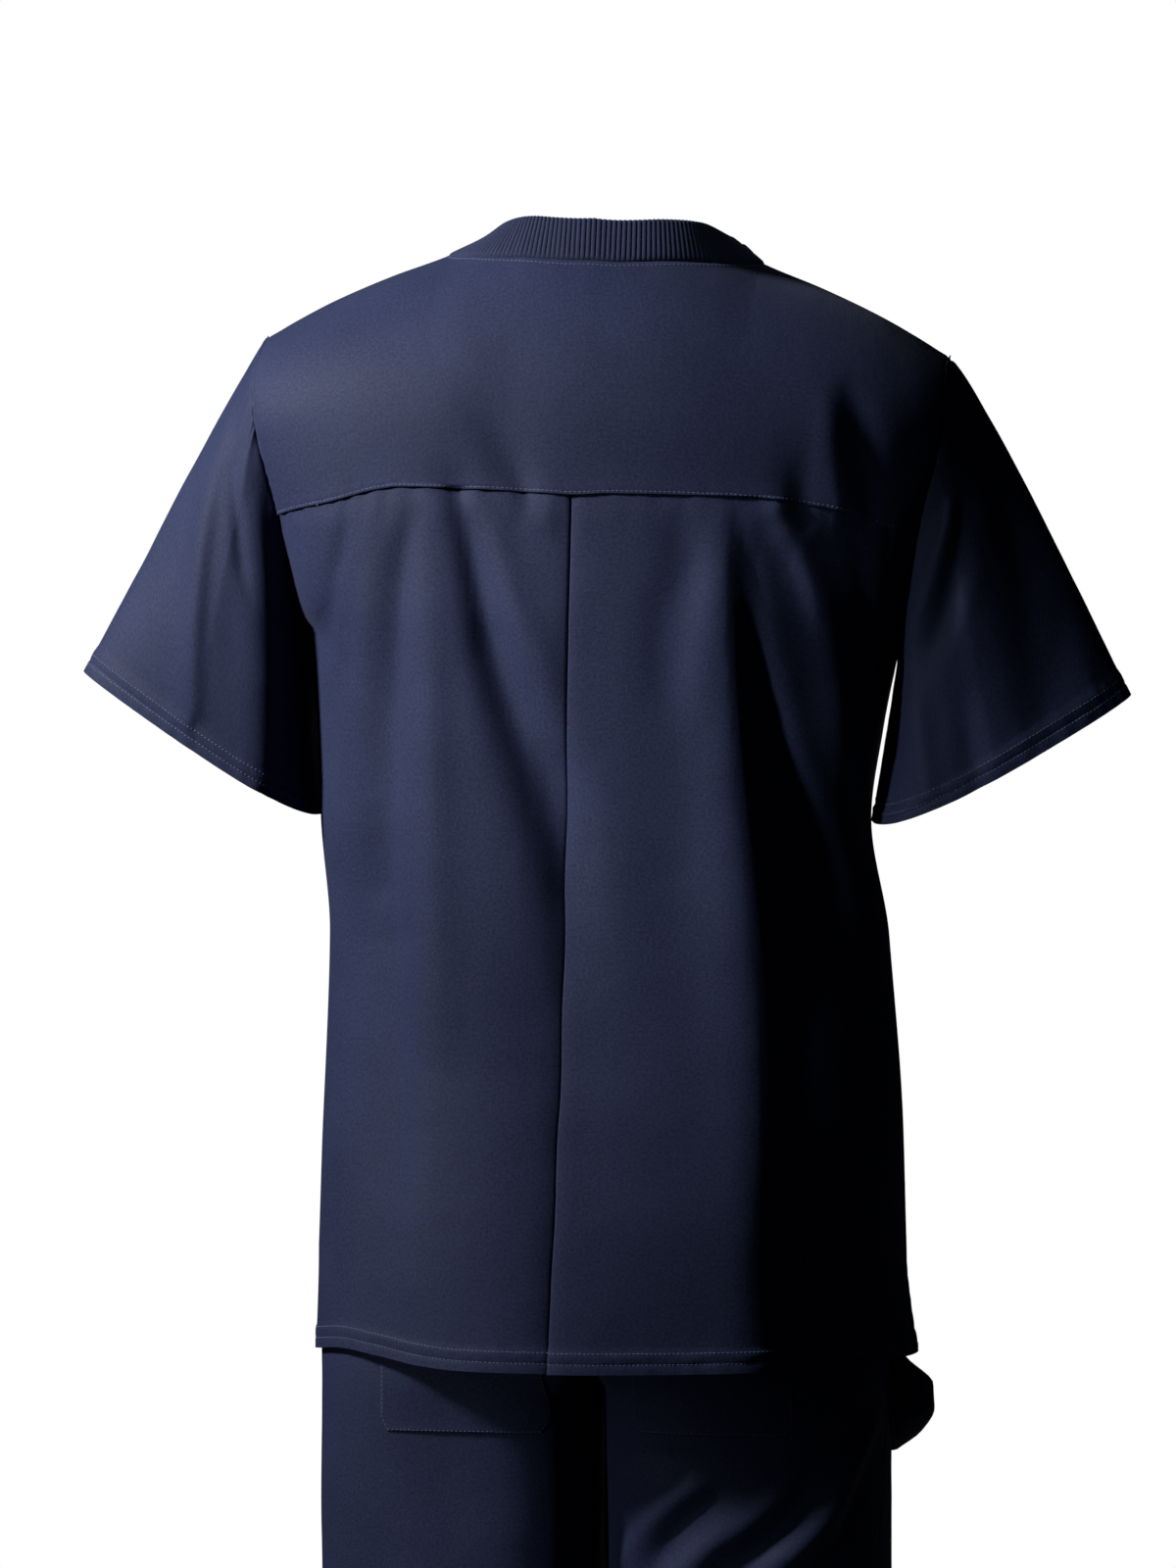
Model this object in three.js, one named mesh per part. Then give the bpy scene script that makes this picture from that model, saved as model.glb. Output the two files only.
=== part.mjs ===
// Medical scrubs: a short-sleeved V-neck top worn over straight trousers, both hollow, as they hang on a standing wearer.
// Millimetres, +Z up, front towards -Y. The origin is where the shoulders carry the top: level with the neck points of the
// shoulder seams, midway between them.
import * as THREE from "three";

// ---------------------------------------------------------------- sizes
const CLOTH = 1.3; // wall of the woven cloth
const HEM_CLOTH = 2.0; // the wall where a hem is turned up
const RIB_CLOTH = 2.4; // the knitted neck rib, folded double
const GAP = 0.2; // each side of a seam stops this far short of it
const SHOULDER_GAP = 0.5; // the same at the shoulder seams, which lie across the sharpest turn
const YOKE_GAP = 0.5; // each side of the yoke seam
const LEG_GAP = 0.32; // each side of the seams down the legs
const LIFT = 2.1; // how far a patch lies off the panel that carries it

const ARMPIT_Z = -265;
const TURN_Z = -130; // above this the cloth starts to turn over the shoulder
const SHOULDER_X = 238;
const SHOULDER_Z = -65;
const ARMHOLE_BACK = 64; // how far the armhole reaches behind the shoulder point
const ARMHOLE_FRONT = 61;
const OVER = 100; // nominal radius of the turn over the shoulder
const ROUND_BACK = 1.15; // 1 is an ellipse, more is a flatter slope
const ROUND_FRONT = 1.3;

const NECK_X = 110; // half the neck's width at the shoulder seams
const NECK_BACK = 74; // how far back the neck seam goes
const V_POINT_Z = -165;
const BAND = 30; // width of the neck rib and the neck bands
const BAND_TOP = { left: { x: 88, z: 10 }, right: { x: 95, z: 9 } }; // the bands' free edges at the shoulder seams
const BAND_POINT_Z = -112; // the free edge's lowest point in front

const YOKE_Z = -169;
const BACK_HEM_Z = -761;
const FRONT_HEM_Z = -755;
const VENT_TOP_Z = -685;
const PLEAT = 16; // depth of the centre back pleat
const PLEAT_PITCH = 2.1; // one layer of the pleat to the next

const SHOULDER_TILT = 9.5; // left shoulder up, right shoulder down, at 250 from the middle

const WAIST_Z = -490;
const BAND_SEAM_Z = -530;
const CROTCH_Z = -785;
const LEG_HEM_Z = -1548;

// The top's level sections: half width, depth behind and in front, sideways shift, and how square the two halves are.
const TORSO = [
  { z: -765, side: 208.5, back: 145, front: 138, sway: -5.5, power: 2.2, bend: 0.46 },
  { z: -690, side: 204, back: 143, front: 137, sway: -4, power: 2.2, bend: 0.46 },
  { z: -600, side: 201.5, back: 137, front: 135, sway: -4, power: 2.2, bend: 0.47 },
  { z: -470, side: 194.5, back: 131, front: 130, sway: -1.5, power: 2.3, bend: 0.49 },
  { z: -385, side: 191.5, back: 132, front: 131, sway: 8, power: 2.35, bend: 0.5 },
  { z: -320, side: 197.5, back: 134, front: 132, sway: 5.5, power: 2.4, bend: 0.51 },
  { z: -265, side: 206, back: 134, front: 130, sway: 3, power: 2.4, bend: 0.52 },
  { z: -200, side: 217, back: 131, front: 118, sway: 1, power: 2.3, bend: 0.65 },
  { z: -130, side: 235, back: 127, front: 104, sway: 0, power: 2.2, bend: 0.8 },
  { z: -65, side: 238, back: 127, front: 104, sway: 0, power: 2.2, bend: 0.8 },
];

// The edges of the armholes, behind and in front: distance from the middle at each height.
const ARMHOLE = [
  { z: -265, back: 206, front: 206 },
  { z: -232, back: 211, front: 206 },
  { z: -200, back: 217, front: 209 },
  { z: -165, back: 226, front: 217 },
  { z: -130, back: 235, front: 228 },
  { z: -91, back: 239, front: 236 },
  { z: -65, back: 238, front: 238 },
];

// Heights of the yoke seam and of the back's hem, across the back from the right side (-1) to the left (1).
const YOKE_SEAM = [
  { s: -1, z: -189 },
  { s: -0.9, z: -183.5 },
  { s: -0.77, z: -175.5 },
  { s: -0.62, z: -171 },
  { s: -0.5, z: -169 },
  { s: -0.3, z: -169.3 },
  { s: -0.08, z: -170 },
  { s: 0.02, z: -171.6 },
  { s: 0.15, z: -170.4 },
  { s: 0.3, z: -169.6 },
  { s: 0.55, z: -169.2 },
  { s: 0.64, z: -171.8 },
  { s: 0.72, z: -176 },
  { s: 0.8, z: -180.5 },
  { s: 0.9, z: -184.5 },
  { s: 1, z: -189 },
];
const BACK_HEM = [
  { s: -1, z: -756 },
  { s: -0.8, z: -758.5 },
  { s: -0.5, z: -761 },
  { s: 0, z: -762 },
  { s: 0.4, z: -761 },
  { s: 0.55, z: -758.5 },
  { s: 0.7, z: -754 },
  { s: 0.83, z: -751 },
  { s: 1, z: -756 },
];

// Height of the shoulder ridge at each distance from the middle.
const RIDGE = [
  { x: 0, z: 32 },
  { x: 40, z: 27 },
  { x: 80, z: 12.5 },
  { x: 110, z: -3 },
  { x: 150, z: -18.5 },
  { x: 190, z: -36.5 },
  { x: 215, z: -50 },
  { x: 240, z: -65 },
];

// The sleeves' openings: outer tip, inner point, depth front to back, and how much lower the back hangs.
const SLEEVES = [
  { name: "left", side: 1, tipX: 367, tipZ: -297, tipY: 10, innerX: 205, innerZ: -391, depth: 47, backDrop: 6, frontDrop: 2, lean: 0.6, bulge: 2.5 },
  { name: "right", side: -1, tipX: 362.5, tipZ: -296, tipY: 10, innerX: 189.5, innerZ: -384, depth: 47, backDrop: 15, frontDrop: 2, lean: 0.5, bulge: 5.5 },
];

// The top's largest folds. Each runs from (x0, z0) to (x1, z1) seen from behind; depth is inwards if negative.
const BACK_FOLDS = [
  { x0: 86, z0: -98, x1: 50, z1: -172, wide: 13, depth: -4.5 },
  { x0: 100, z0: -140, x1: 20, z1: -400, wide: 20, depth: -10 },
  { x0: 120, z0: -190, x1: 148, z1: -560, wide: 17, depth: -6 },
  { x0: 162, z0: -185, x1: 182, z1: -420, wide: 11, depth: -6 },
  { x0: 140, z0: -180, x1: 164, z1: -640, wide: 12, depth: 3 },
  { x0: -101, z0: -190, x1: -150, z1: -560, wide: 20, depth: -10 },
  { x0: -86, z0: -180, x1: -106, z1: -640, wide: 20, depth: 6 },
  { x0: -168, z0: -112, x1: -194, z1: -180, wide: 11, depth: -6 },
  { x0: -158, z0: -150, x1: -168, z1: -470, wide: 14, depth: -8 },
  { x0: -130, z0: -190, x1: -176, z1: -500, wide: 14, depth: 4 },
];
const FRONT_FOLDS = [
  { x0: 120, z0: -150, x1: 60, z1: -480, wide: 22, depth: -7 },
  { x0: -126, z0: -160, x1: -70, z1: -520, wide: 22, depth: -7 },
  { x0: 158, z0: -210, x1: 140, z1: -600, wide: 16, depth: -6 },
  { x0: -160, z0: -200, x1: -150, z1: -620, wide: 16, depth: -6 },
  { x0: 20, z0: -300, x1: 10, z1: -740, wide: 30, depth: 5 },
];

// The trousers' level sections. Each leg is a rounded ring: its middle, half width, depths, shift back and squareness.
// Above the crotch the two rings run into each other; turn is how far, in degrees, the right side seam has come round to the back.
const LEG = [
  { z: -490, middle: 0, half: 172, back: 106, front: 95, shift: 0, square: 2.3, turn: 0 },
  { z: -530, middle: 0, half: 176, back: 109, front: 98, shift: 0, square: 2.3, turn: 0 },
  { z: -580, middle: 0, half: 186, back: 112, front: 101, shift: 0, square: 2.3, turn: 0 },
  { z: -640, middle: 0, half: 192, back: 115, front: 103, shift: 0, square: 2.35, turn: 0 },
  { z: -690, middle: 28, half: 166, back: 115, front: 103, shift: 0, square: 2.4, turn: 0 },
  { z: -740, middle: 68, half: 129, back: 113, front: 102, shift: 0, square: 2.45, turn: 1 },
  { z: -785, middle: 98.5, half: 97.5, back: 110, front: 99, shift: 0, square: 2.5, turn: 5 },
  { z: -850, middle: 99.2, half: 97.6, back: 104, front: 96, shift: 0, square: 2.5, turn: 14 },
  { z: -915, middle: 99.6, half: 97.6, back: 99, front: 93, shift: 0, square: 2.4, turn: 22 },
  { z: -1000, middle: 102, half: 91, back: 92, front: 90, shift: 2, square: 2.3, turn: 24 },
  { z: -1120, middle: 106, half: 83, back: 83, front: 85, shift: 4, square: 2.2, turn: 22 },
  { z: -1300, middle: 109, half: 78, back: 79, front: 77, shift: 10, square: 2.2, turn: 16 },
  { z: -1550, middle: 113, half: 76, back: 76, front: 74, shift: 10, square: 2.2, turn: 12 },
];

// Folds of the trousers on the ring round each leg: angle 0 is the outer side, 90 the back, in degrees, to the named height.
const LEG_FOLDS = [
  { side: -1, a0: 112, z0: -838, a1: 52, z1: -915, wide: 13, depth: -7 },
  { side: -1, a0: 100, z0: -868, a1: 60, z1: -960, wide: 12, depth: 5 },
  { side: 1, a0: 118, z0: -850, a1: 100, z1: -1000, wide: 16, depth: -6 },
  { side: 1, a0: 70, z0: -1080, a1: 120, z1: -1180, wide: 14, depth: -5 },
  { side: -1, a0: 120, z0: -1080, a1: 66, z1: -1170, wide: 14, depth: -5 },
  { side: 1, a0: -60, z0: -1420, a1: -130, z1: -1470, wide: 16, depth: -6 },
  { side: -1, a0: -130, z0: -1410, a1: -60, z1: -1480, wide: 16, depth: -6 },
];

// The patch pockets of the trousers: which panel, distance of the two edges from the middle, or the angles round the leg.
const BACK_POCKET = { inner: 31, outer: 141, top: -648, bottom: -806, corner: 9 };
const SIDE_POCKET = { near: 0.03, far: 0.56, top: -640, bottom: -828, round: 0.09 };
const SIDE_POCKET_STAND = [
  { z: -640, left: 0, right: 0 },
  { z: -745, left: 1, right: 1 },
  { z: -762, left: 2, right: 9 },
  { z: -782, left: 4, right: 29 },
  { z: -798, left: 5, right: 29 },
  { z: -814, left: 3, right: 20 },
  { z: -828, left: 0, right: 3 },
];

// ---------------------------------------------------------------- tables and small maths
const clamp = (v, lo, hi) => Math.min(hi, Math.max(lo, v));
const mix = (a, b, t) => a + (b - a) * t;
const ease = (t) => { const c = clamp(t, 0, 1); return c * c * (3 - 2 * c); };
const rad = (d) => (d * Math.PI) / 180;

// One column of a table as a smooth function of its key that never overshoots its rows.
function column(table, key, name) {
  const rows = [...table].sort((p, q) => p[key] - q[key]);
  const x = rows.map((r) => r[key]), y = rows.map((r) => r[name]);
  const d = x.slice(1).map((v, i) => (y[i + 1] - y[i]) / (v - x[i]));
  const m = x.map((_, i) => {
    if (i === 0 || i === x.length - 1) return d[Math.min(i, d.length - 1)];
    return d[i - 1] * d[i] <= 0 ? 0 : (2 * d[i - 1] * d[i]) / (d[i - 1] + d[i]);
  });
  return (v) => {
    const c = clamp(v, x[0], x[x.length - 1]);
    let i = 0;
    while (i < x.length - 2 && c > x[i + 1]) i++;
    const h = x[i + 1] - x[i], t = (c - x[i]) / h;
    return y[i] * (1 + 2 * t) * (1 - t) ** 2 + h * m[i] * t * (1 - t) ** 2 + y[i + 1] * t * t * (3 - 2 * t) + h * m[i + 1] * t * t * (t - 1);
  };
}
const columns = (table, key) =>
  Object.fromEntries(Object.keys(table[0]).filter((n) => typeof table[0][n] === "number" && n !== key).map((n) => [n, column(table, key, n)]));

const torso = columns(TORSO, "z");
const armhole = columns(ARMHOLE, "z");
const ridge = columns(RIDGE, "x").z;
const leg = columns(LEG, "z");
const stand = columns(SIDE_POCKET_STAND, "z");

// ---------------------------------------------------------------- the top's surface
// A point is named by its face (+1 back, -1 front), its place across the panel s (-1 to 1, +1 on the left side), and its
// height along the panel: up to 0 that is millimetres above the turn, and past 0 it goes over the shoulder to RIDGE_END.
const RIDGE_END = (OVER * Math.PI) / 2;

function edgeX(face, z) {
  return z <= ARMPIT_Z ? torso.side(z) : face > 0 ? armhole.back(z) : armhole.front(z);
}

// How far round the armhole a height is, from 0 at the armpit to 1 at the turn.
const armholeArc = (z) => (z <= ARMPIT_Z ? 0 : Math.sqrt(Math.max(0, 1 - ((TURN_Z - Math.min(z, TURN_Z)) / (TURN_Z - ARMPIT_Z)) ** 2)));
const SOFTEN = [-0.9, -0.7, -0.5, -0.3, -0.1, 0.1, 0.3, 0.5, 0.7, 0.9];

function levelDepth(face, s, z) {
  const reach = face > 0 ? ARMHOLE_BACK : ARMHOLE_FRONT, w = 62 * ease((1 - Math.abs(s)) / 0.4);
  const edge = reach * SOFTEN.reduce((sum, t) => sum + armholeArc(z + w * t), 0) / SOFTEN.length;
  const depth = face > 0 ? torso.back(z) : torso.front(z);
  return edge + (depth - edge) * Math.pow(Math.max(0, 1 - Math.abs(s) ** torso.power(z)), torso.bend(z));
}

function vent(face, s, z) {
  const open = clamp((VENT_TOP_Z - z) / (VENT_TOP_Z - BACK_HEM_Z), 0, 1) * Math.abs(s) ** 8;
  const out = s > 0 ? (face > 0 ? -5 : 2) : face > 0 ? 3 : -3;
  return { y: 11 * open, x: out * open * Math.sign(s) };
}

function bare(face, s, along) {
  if (along <= 0) {
    const z = TURN_Z + along, slit = vent(face, s, z);
    return new THREE.Vector3(s * edgeX(face, z) + torso.sway(z) + slit.x, face * (levelDepth(face, s, z) + GAP + slit.y), z);
  }
  const angle = along / OVER, round = face > 0 ? ROUND_BACK : ROUND_FRONT;
  const up = Math.pow(Math.sin(Math.min(angle, Math.PI / 2)), round);
  const out = Math.pow(Math.max(0, Math.cos(angle)), round);
  const x = s * edgeX(face, mix(TURN_Z, SHOULDER_Z, up));
  return new THREE.Vector3(x, face * (levelDepth(face, s, TURN_Z) * out + mix(GAP, SHOULDER_GAP, up)), mix(TURN_Z, ridge(Math.abs(x)), up));
}

function foldDepth(folds, x, z) {
  let sum = 0;
  for (const f of folds) {
    const t = (f.z0 - z) / (f.z0 - f.z1);
    if (t < -0.2 || t > 1.2) continue;
    const middle = mix(f.x0, f.x1, t), fade = ease((t + 0.12) / 0.3) * ease((1.15 - t) / 0.6);
    sum += f.depth * fade * Math.exp(-(((x - middle) / (f.wide * (0.8 + 0.5 * clamp(t, 0, 1)))) ** 2));
  }
  return sum;
}

function across(surface, u, v, du, dv) {
  const a = surface(u + du, v).sub(surface(u - du, v)), b = surface(u, v + dv).sub(surface(u, v - dv));
  return a.cross(b).normalize();
}

// The shoulders are not quite level.
function tilted(p) {
  p.z += SHOULDER_TILT * clamp(p.x / 250, -1, 1) * ease((p.z + 520) / 220);
  return p;
}

function top(face, s, along, out = 0) {
  const p = bare(face, s, along);
  const inside = clamp(s, -0.985, 0.985);
  const n = across((u, v) => bare(face, u, v), inside, Math.min(along, RIDGE_END - 3), 0.01, 1.5);
  if (n.y * face < 0 || (Math.abs(n.y) < 0.2 && n.x * s < 0 && along < 0)) n.negate();
  const quiet = (1 - Math.abs(s) ** 10) * ease((RIDGE_END - along) / 60);
  p.addScaledVector(n, out + quiet * foldDepth(face > 0 ? BACK_FOLDS : FRONT_FOLDS, p.x, p.z));
  return tilted(p);
}

// ---------------------------------------------------------------- sheets with a wall
// rows[i][j] is the middle of the cloth. outwards is a point that the front of the sheet faces away from.
function sheet(rows, wall, { closed = false, away, normalAt } = {}) {
  const m = rows.length, n = rows[0].length, span = closed ? n : n - 1;
  const at = (i, j) => rows[i][closed ? (j + n) % n : clamp(j, 0, n - 1)];
  const points = [];
  const thick = typeof wall === "function" ? wall : () => wall;
  const normals = rows.map((row, i) => row.map((p, j) => {
    const a = at(i, j + 1).clone().sub(at(i, j - 1)), b = at(Math.min(i + 1, m - 1), j).clone().sub(at(Math.max(i - 1, 0), j));
    return a.cross(b).normalize();
  }));
  let facing = 0;
  rows.forEach((row, i) => row.forEach((p, j) => { facing += normals[i][j].dot(p.clone().sub(away(p))); }));
  const flip = facing < 0 ? -1 : 1;
  const outward = (i, j) => {
    const n = normals[i][j].clone().multiplyScalar(flip);
    return normalAt ? normalAt(i, j, n) : n;
  };
  for (const face of [1, -1])
    rows.forEach((row, i) => row.forEach((p, j) => points.push(p.clone().addScaledVector(outward(i, j), (face * thick(i, j)) / 2))));
  const id = (face, i, j) => face * m * n + i * n + (closed ? (j + n) % n : j);
  const index = [];
  const quad = (a, b, c, d) => index.push(a, b, c, a, c, d);
  for (let i = 0; i < m - 1; i++)
    for (let j = 0; j < span; j++) {
      quad(id(0, i, j), id(0, i, j + 1), id(0, i + 1, j + 1), id(0, i + 1, j));
      quad(id(1, i, j), id(1, i + 1, j), id(1, i + 1, j + 1), id(1, i, j + 1));
    }
  for (let j = 0; j < span; j++) {
    quad(id(0, 0, j), id(1, 0, j), id(1, 0, j + 1), id(0, 0, j + 1));
    quad(id(0, m - 1, j), id(0, m - 1, j + 1), id(1, m - 1, j + 1), id(1, m - 1, j));
  }
  if (!closed)
    for (let i = 0; i < m - 1; i++) {
      quad(id(0, i, 0), id(0, i + 1, 0), id(1, i + 1, 0), id(1, i, 0));
      quad(id(0, i, n - 1), id(1, i, n - 1), id(1, i + 1, n - 1), id(0, i + 1, n - 1));
    }
  if (flip < 0) for (let k = 0; k < index.length; k += 3) [index[k + 1], index[k + 2]] = [index[k + 2], index[k + 1]];
  const g = new THREE.BufferGeometry();
  g.setAttribute("position", new THREE.Float32BufferAttribute(points.flatMap((p) => [p.x, p.y, p.z]), 3));
  g.setIndex(index);
  g.computeVertexNormals();
  return g;
}

const steps = (from, to, count) => Array.from({ length: count + 1 }, (_, i) => mix(from, to, i / count));
const axis = (p) => new THREE.Vector3(0, 0, p.z);
const belly = () => new THREE.Vector3(0, 0, -300);

const cloth = new THREE.MeshStandardMaterial({ color: 0x262b45, roughness: 0.85, metalness: 0 });
const rib = new THREE.MeshStandardMaterial({ color: 0x2b3049, roughness: 0.92, metalness: 0 });
const scrubs = new THREE.Group();
const topPieces = new THREE.Group();
const trouserPieces = new THREE.Group();
scrubs.add(topPieces, trouserPieces);

function piece(group, name, geometry, material = cloth) {
  const mesh = new THREE.Mesh(geometry, material);
  mesh.name = name;
  group.add(mesh);
}

// ---------------------------------------------------------------- neck line and columns of the top
const NECK_S = NECK_X / SHOULDER_X;

// How far up the panel the neck seam is, at each place across.
function backNeck(s) {
  const a = Math.abs(s) / NECK_S;
  if (a >= 1) return RIDGE_END;
  const y = NECK_BACK * Math.sqrt(1 - a * a) / levelDepth(1, s, TURN_Z);
  return OVER * Math.acos(Math.pow(Math.min(1, y), 1 / ROUND_BACK));
}
function vSeamZ(x) {
  return mix(V_POINT_Z, RIDGE_AT_NECK, Math.pow(Math.abs(x) / NECK_X, 0.92));
}
const RIDGE_AT_NECK = ridge(NECK_X);
function frontNeck(s) {
  const x = Math.abs(s) * SHOULDER_X;
  if (x >= NECK_X - 0.01) return RIDGE_END;
  const z = vSeamZ(x);
  if (z <= TURN_Z) return z - TURN_Z;
  return OVER * Math.asin(Math.pow(clamp((z - TURN_Z) / (ridge(x) - TURN_Z), 0, 1), 1 / ROUND_FRONT));
}
const seamHeight = column(YOKE_SEAM, "s", "z"), backHem = column(BACK_HEM, "s", "z");
function yokeSeam(s) {
  return seamHeight(s) - TURN_Z;
}
function hem(face, s) {
  return (face > 0 ? backHem(s) : FRONT_HEM_Z + 2 * Math.abs(s) ** 6) - TURN_Z;
}
function halfColumns(neckSteps, sideSteps) {
  const inner = steps(0, 90, neckSteps).map((b) => NECK_S * Math.sin(rad(b)));
  const start = (Math.asin(NECK_S) * 180) / Math.PI;
  const outer = steps(start, 90, sideSteps).slice(1).map((g) => Math.sin(rad(g)));
  return [...inner, ...outer];
}
const mirrored = (half) => [...half.slice(1).reverse().map((s) => -s), ...half];

// Rows of the three body panels, from hem or seam to neck. Their armhole edges give the sleeves their points.
const PIT = ARMPIT_Z - TURN_Z;
const YOKE_ROWS = steps(0, 1, 6).map((t) => t ** 0.9);
const pitShare = (low, high) => (PIT - low) / (high - low);
const backPit = pitShare(hem(1, 1), yokeSeam(1) - YOKE_GAP);
const BACK_ROWS = [1, 0.67, 0.33, 0].map((t) => mix(backPit, 1, t)).concat([0.89, 0.77, 0.64, 0.5, 0.36, 0.22, 0.1, 0.03, 0].map((t) => t * backPit));
const frontPit = pitShare(hem(-1, 1), RIDGE_END);
const FRONT_ROWS = [0, 0.03, 0.14, 0.3, 0.47, 0.64, 0.8, 0.92].map((t) => t * frontPit).concat([0, 0.13, 0.26, 0.4, 0.55, 0.7, 0.85, 1].map((t) => mix(frontPit, 1, t)));
const backArmhole = YOKE_ROWS.slice(1).reverse().map((t) => mix(yokeSeam(1) + YOKE_GAP, RIDGE_END, t))
  .concat([yokeSeam(1)], BACK_ROWS.slice(1, 4).map((t) => mix(hem(1, 1), yokeSeam(1) - YOKE_GAP, t)));
const frontArmhole = FRONT_ROWS.slice(9, -1).map((t) => mix(hem(-1, 1), RIDGE_END, t));

// ---------------------------------------------------------------- back yoke
{
  const across = mirrored(halfColumns(5, 7));
  const rows = YOKE_ROWS.map((t) => across.map((s) => top(1, s, mix(yokeSeam(s) + YOKE_GAP, backNeck(s), t))));
  piece(topPieces, "top_back_yoke", sheet(rows, CLOTH, { away: belly }));
}

// ---------------------------------------------------------------- lower back, with its centre pleat
// The pleat's fold line leans to the left on its way down. Across it the cloth goes under, back, and out again.
const PLEAT_PATH = [
  { x: 26, depth: 0 },
  { x: 12, depth: -0.9 },
  { x: 3, depth: -1.9 },
  { x: -PLEAT + 1, depth: -2 },
  { x: -PLEAT, depth: -1.5 },
  { x: -PLEAT + 1, depth: -1 },
  { x: 0.2, depth: -1 },
  { x: 1.3, depth: -0.5 },
  { x: 0.2, depth: 0 },
  { x: -22, depth: 0 },
];
const pleatX = (z) => mix(4, 16, clamp((YOKE_Z - z) / (YOKE_Z - BACK_HEM_Z), 0, 1));
{
  const sideSteps = 11;
  const outer = steps(0, 90, sideSteps).slice(1).map((g) => Math.sin(rad(g)));
  const rows = BACK_ROWS.map((t) => {
    const place = (s) => mix(hem(1, s), yokeSeam(s) - YOKE_GAP, t);
    const row = [];
    const z0 = TURN_Z + place(0), wide = edgeX(1, z0), middle = pleatX(z0) - torso.sway(Math.min(z0, TURN_Z));
    const first = middle + PLEAT_PATH[0].x, last = middle + PLEAT_PATH[PLEAT_PATH.length - 1].x;
    for (const q of [...outer].reverse()) {
      const s = mix(first / wide, 1, q);
      row.push(top(1, s, place(s)));
    }
    for (const f of PLEAT_PATH) {
      const s = (middle + f.x) / wide;
      row.push(top(1, s, place(s), f.depth * PLEAT_PITCH));
    }
    for (const q of outer) {
      const s = mix(last / wide, -1, q);
      row.push(top(1, s, place(s)));
    }
    return row;
  });
  piece(topPieces, "top_back_lower", sheet(rows, (i) => (i >= rows.length - 2 ? 1.5 : CLOTH), { away: belly }));
}

// ---------------------------------------------------------------- front
{
  const half = halfColumns(6, 7), across = mirrored(half);
  const rows = FRONT_ROWS.map((t) => across.map((s) => top(-1, s, mix(hem(-1, s), frontNeck(s), t))));
  piece(topPieces, "top_front", sheet(rows, (i) => (i < 2 ? HEM_CLOTH : CLOTH), { away: belly }));
}

// ---------------------------------------------------------------- neck rib behind, neck bands in front
{
  const angles = steps(-90, 90, 16);
  const rows = [0, 0.5, 1].map((t) => angles.map((b) => {
    const s = NECK_S * Math.sin(rad(b));
    const end = b > 0 ? { x: 0.93, z: 0.37, power: 2 } : { x: 0.78, z: 0.64, power: 3 };
    const seam = top(1, s, backNeck(s)), round = Math.abs(Math.sin(rad(b))) ** end.power;
    const lean = new THREE.Vector3(-Math.sign(b) * end.x * round, mix(-0.3, -0.02, round), mix(0.95, end.z, round)).normalize();
    const start = 1.5;
    const p = seam.addScaledVector(lean, start + (BAND - start) * t);
    p.y = Math.max(p.y, 0.4);
    return p;
  }));
  piece(topPieces, "top_neck_rib", sheet(rows, RIB_CLOTH, { away: (p) => new THREE.Vector3(0, 0, p.z) }), rib);
}
for (const side of [1, -1]) {
  const places = [0, 0.06, 0.14, 0.24, 0.36, 0.5, 0.64, 0.78, 0.9, 1];
  const edge = places.map((u) => {
    const x = Math.max(NECK_X * (1 - u), 0.9);
    const s = (side * x) / SHOULDER_X;
    return top(-1, s, frontNeck(s));
  });
  const free = places.map((u, i) => {
    const start = side > 0 ? BAND_TOP.left : BAND_TOP.right;
    const x = Math.max(start.x * (1 - u), 0.9);
    const z = mix(start.z, BAND_POINT_Z, u) + (SHOULDER_TILT * side * x) / 500;
    return new THREE.Vector3(side * x, Math.min(edge[i].y * mix(0.96, 0.93, u) + 1, -0.4), z);
  });
  const rows = [0, 0.5, 1].map((t) => edge.map((p, i) => {
    const way = free[i].clone().sub(p), length = way.length();
    const q = p.clone().addScaledVector(way.normalize(), mix(1.3, length, t));
    if (t === 0.5) q.y -= 1.2;
    q.y = Math.min(q.y, -0.4);
    return q;
  }));
  piece(topPieces, side > 0 ? "top_neck_band_left" : "top_neck_band_right", sheet(rows, HEM_CLOTH, { away: (p) => new THREE.Vector3(0, 0, p.z - 60) }));
}

// ---------------------------------------------------------------- sleeves
// Round the sleeve 0 is the top, 90 the back, 180 the armpit, 270 the front; from the armhole seam to the hem.
const turnOf = (along) => (Math.acos(along >= 0 ? Math.sin(along / OVER) : Math.max(-1, along / -PIT)) * 180) / Math.PI;
const ROUND = [...backArmhole.map(turnOf), ...frontArmhole.map((a) => 360 - turnOf(a))];
function armhole3d(side, turn) {
  const c = Math.cos(rad(turn)), b = Math.sin(rad(turn)), face = b >= 0 ? 1 : -1;
  const along = c >= 0 ? OVER * Math.asin(Math.min(1, c)) : c * -PIT;
  const point = bare(face, side, along);
  point.y -= face * mix(GAP, SHOULDER_GAP, Math.max(0, c));
  const normal = across((u, v) => bare(face, u, v), side * 0.975, Math.min(along, RIDGE_END - 3), 0.01, 1.5);
  if (normal.x * side < 0) normal.negate();
  return { point, normal };
}
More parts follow.
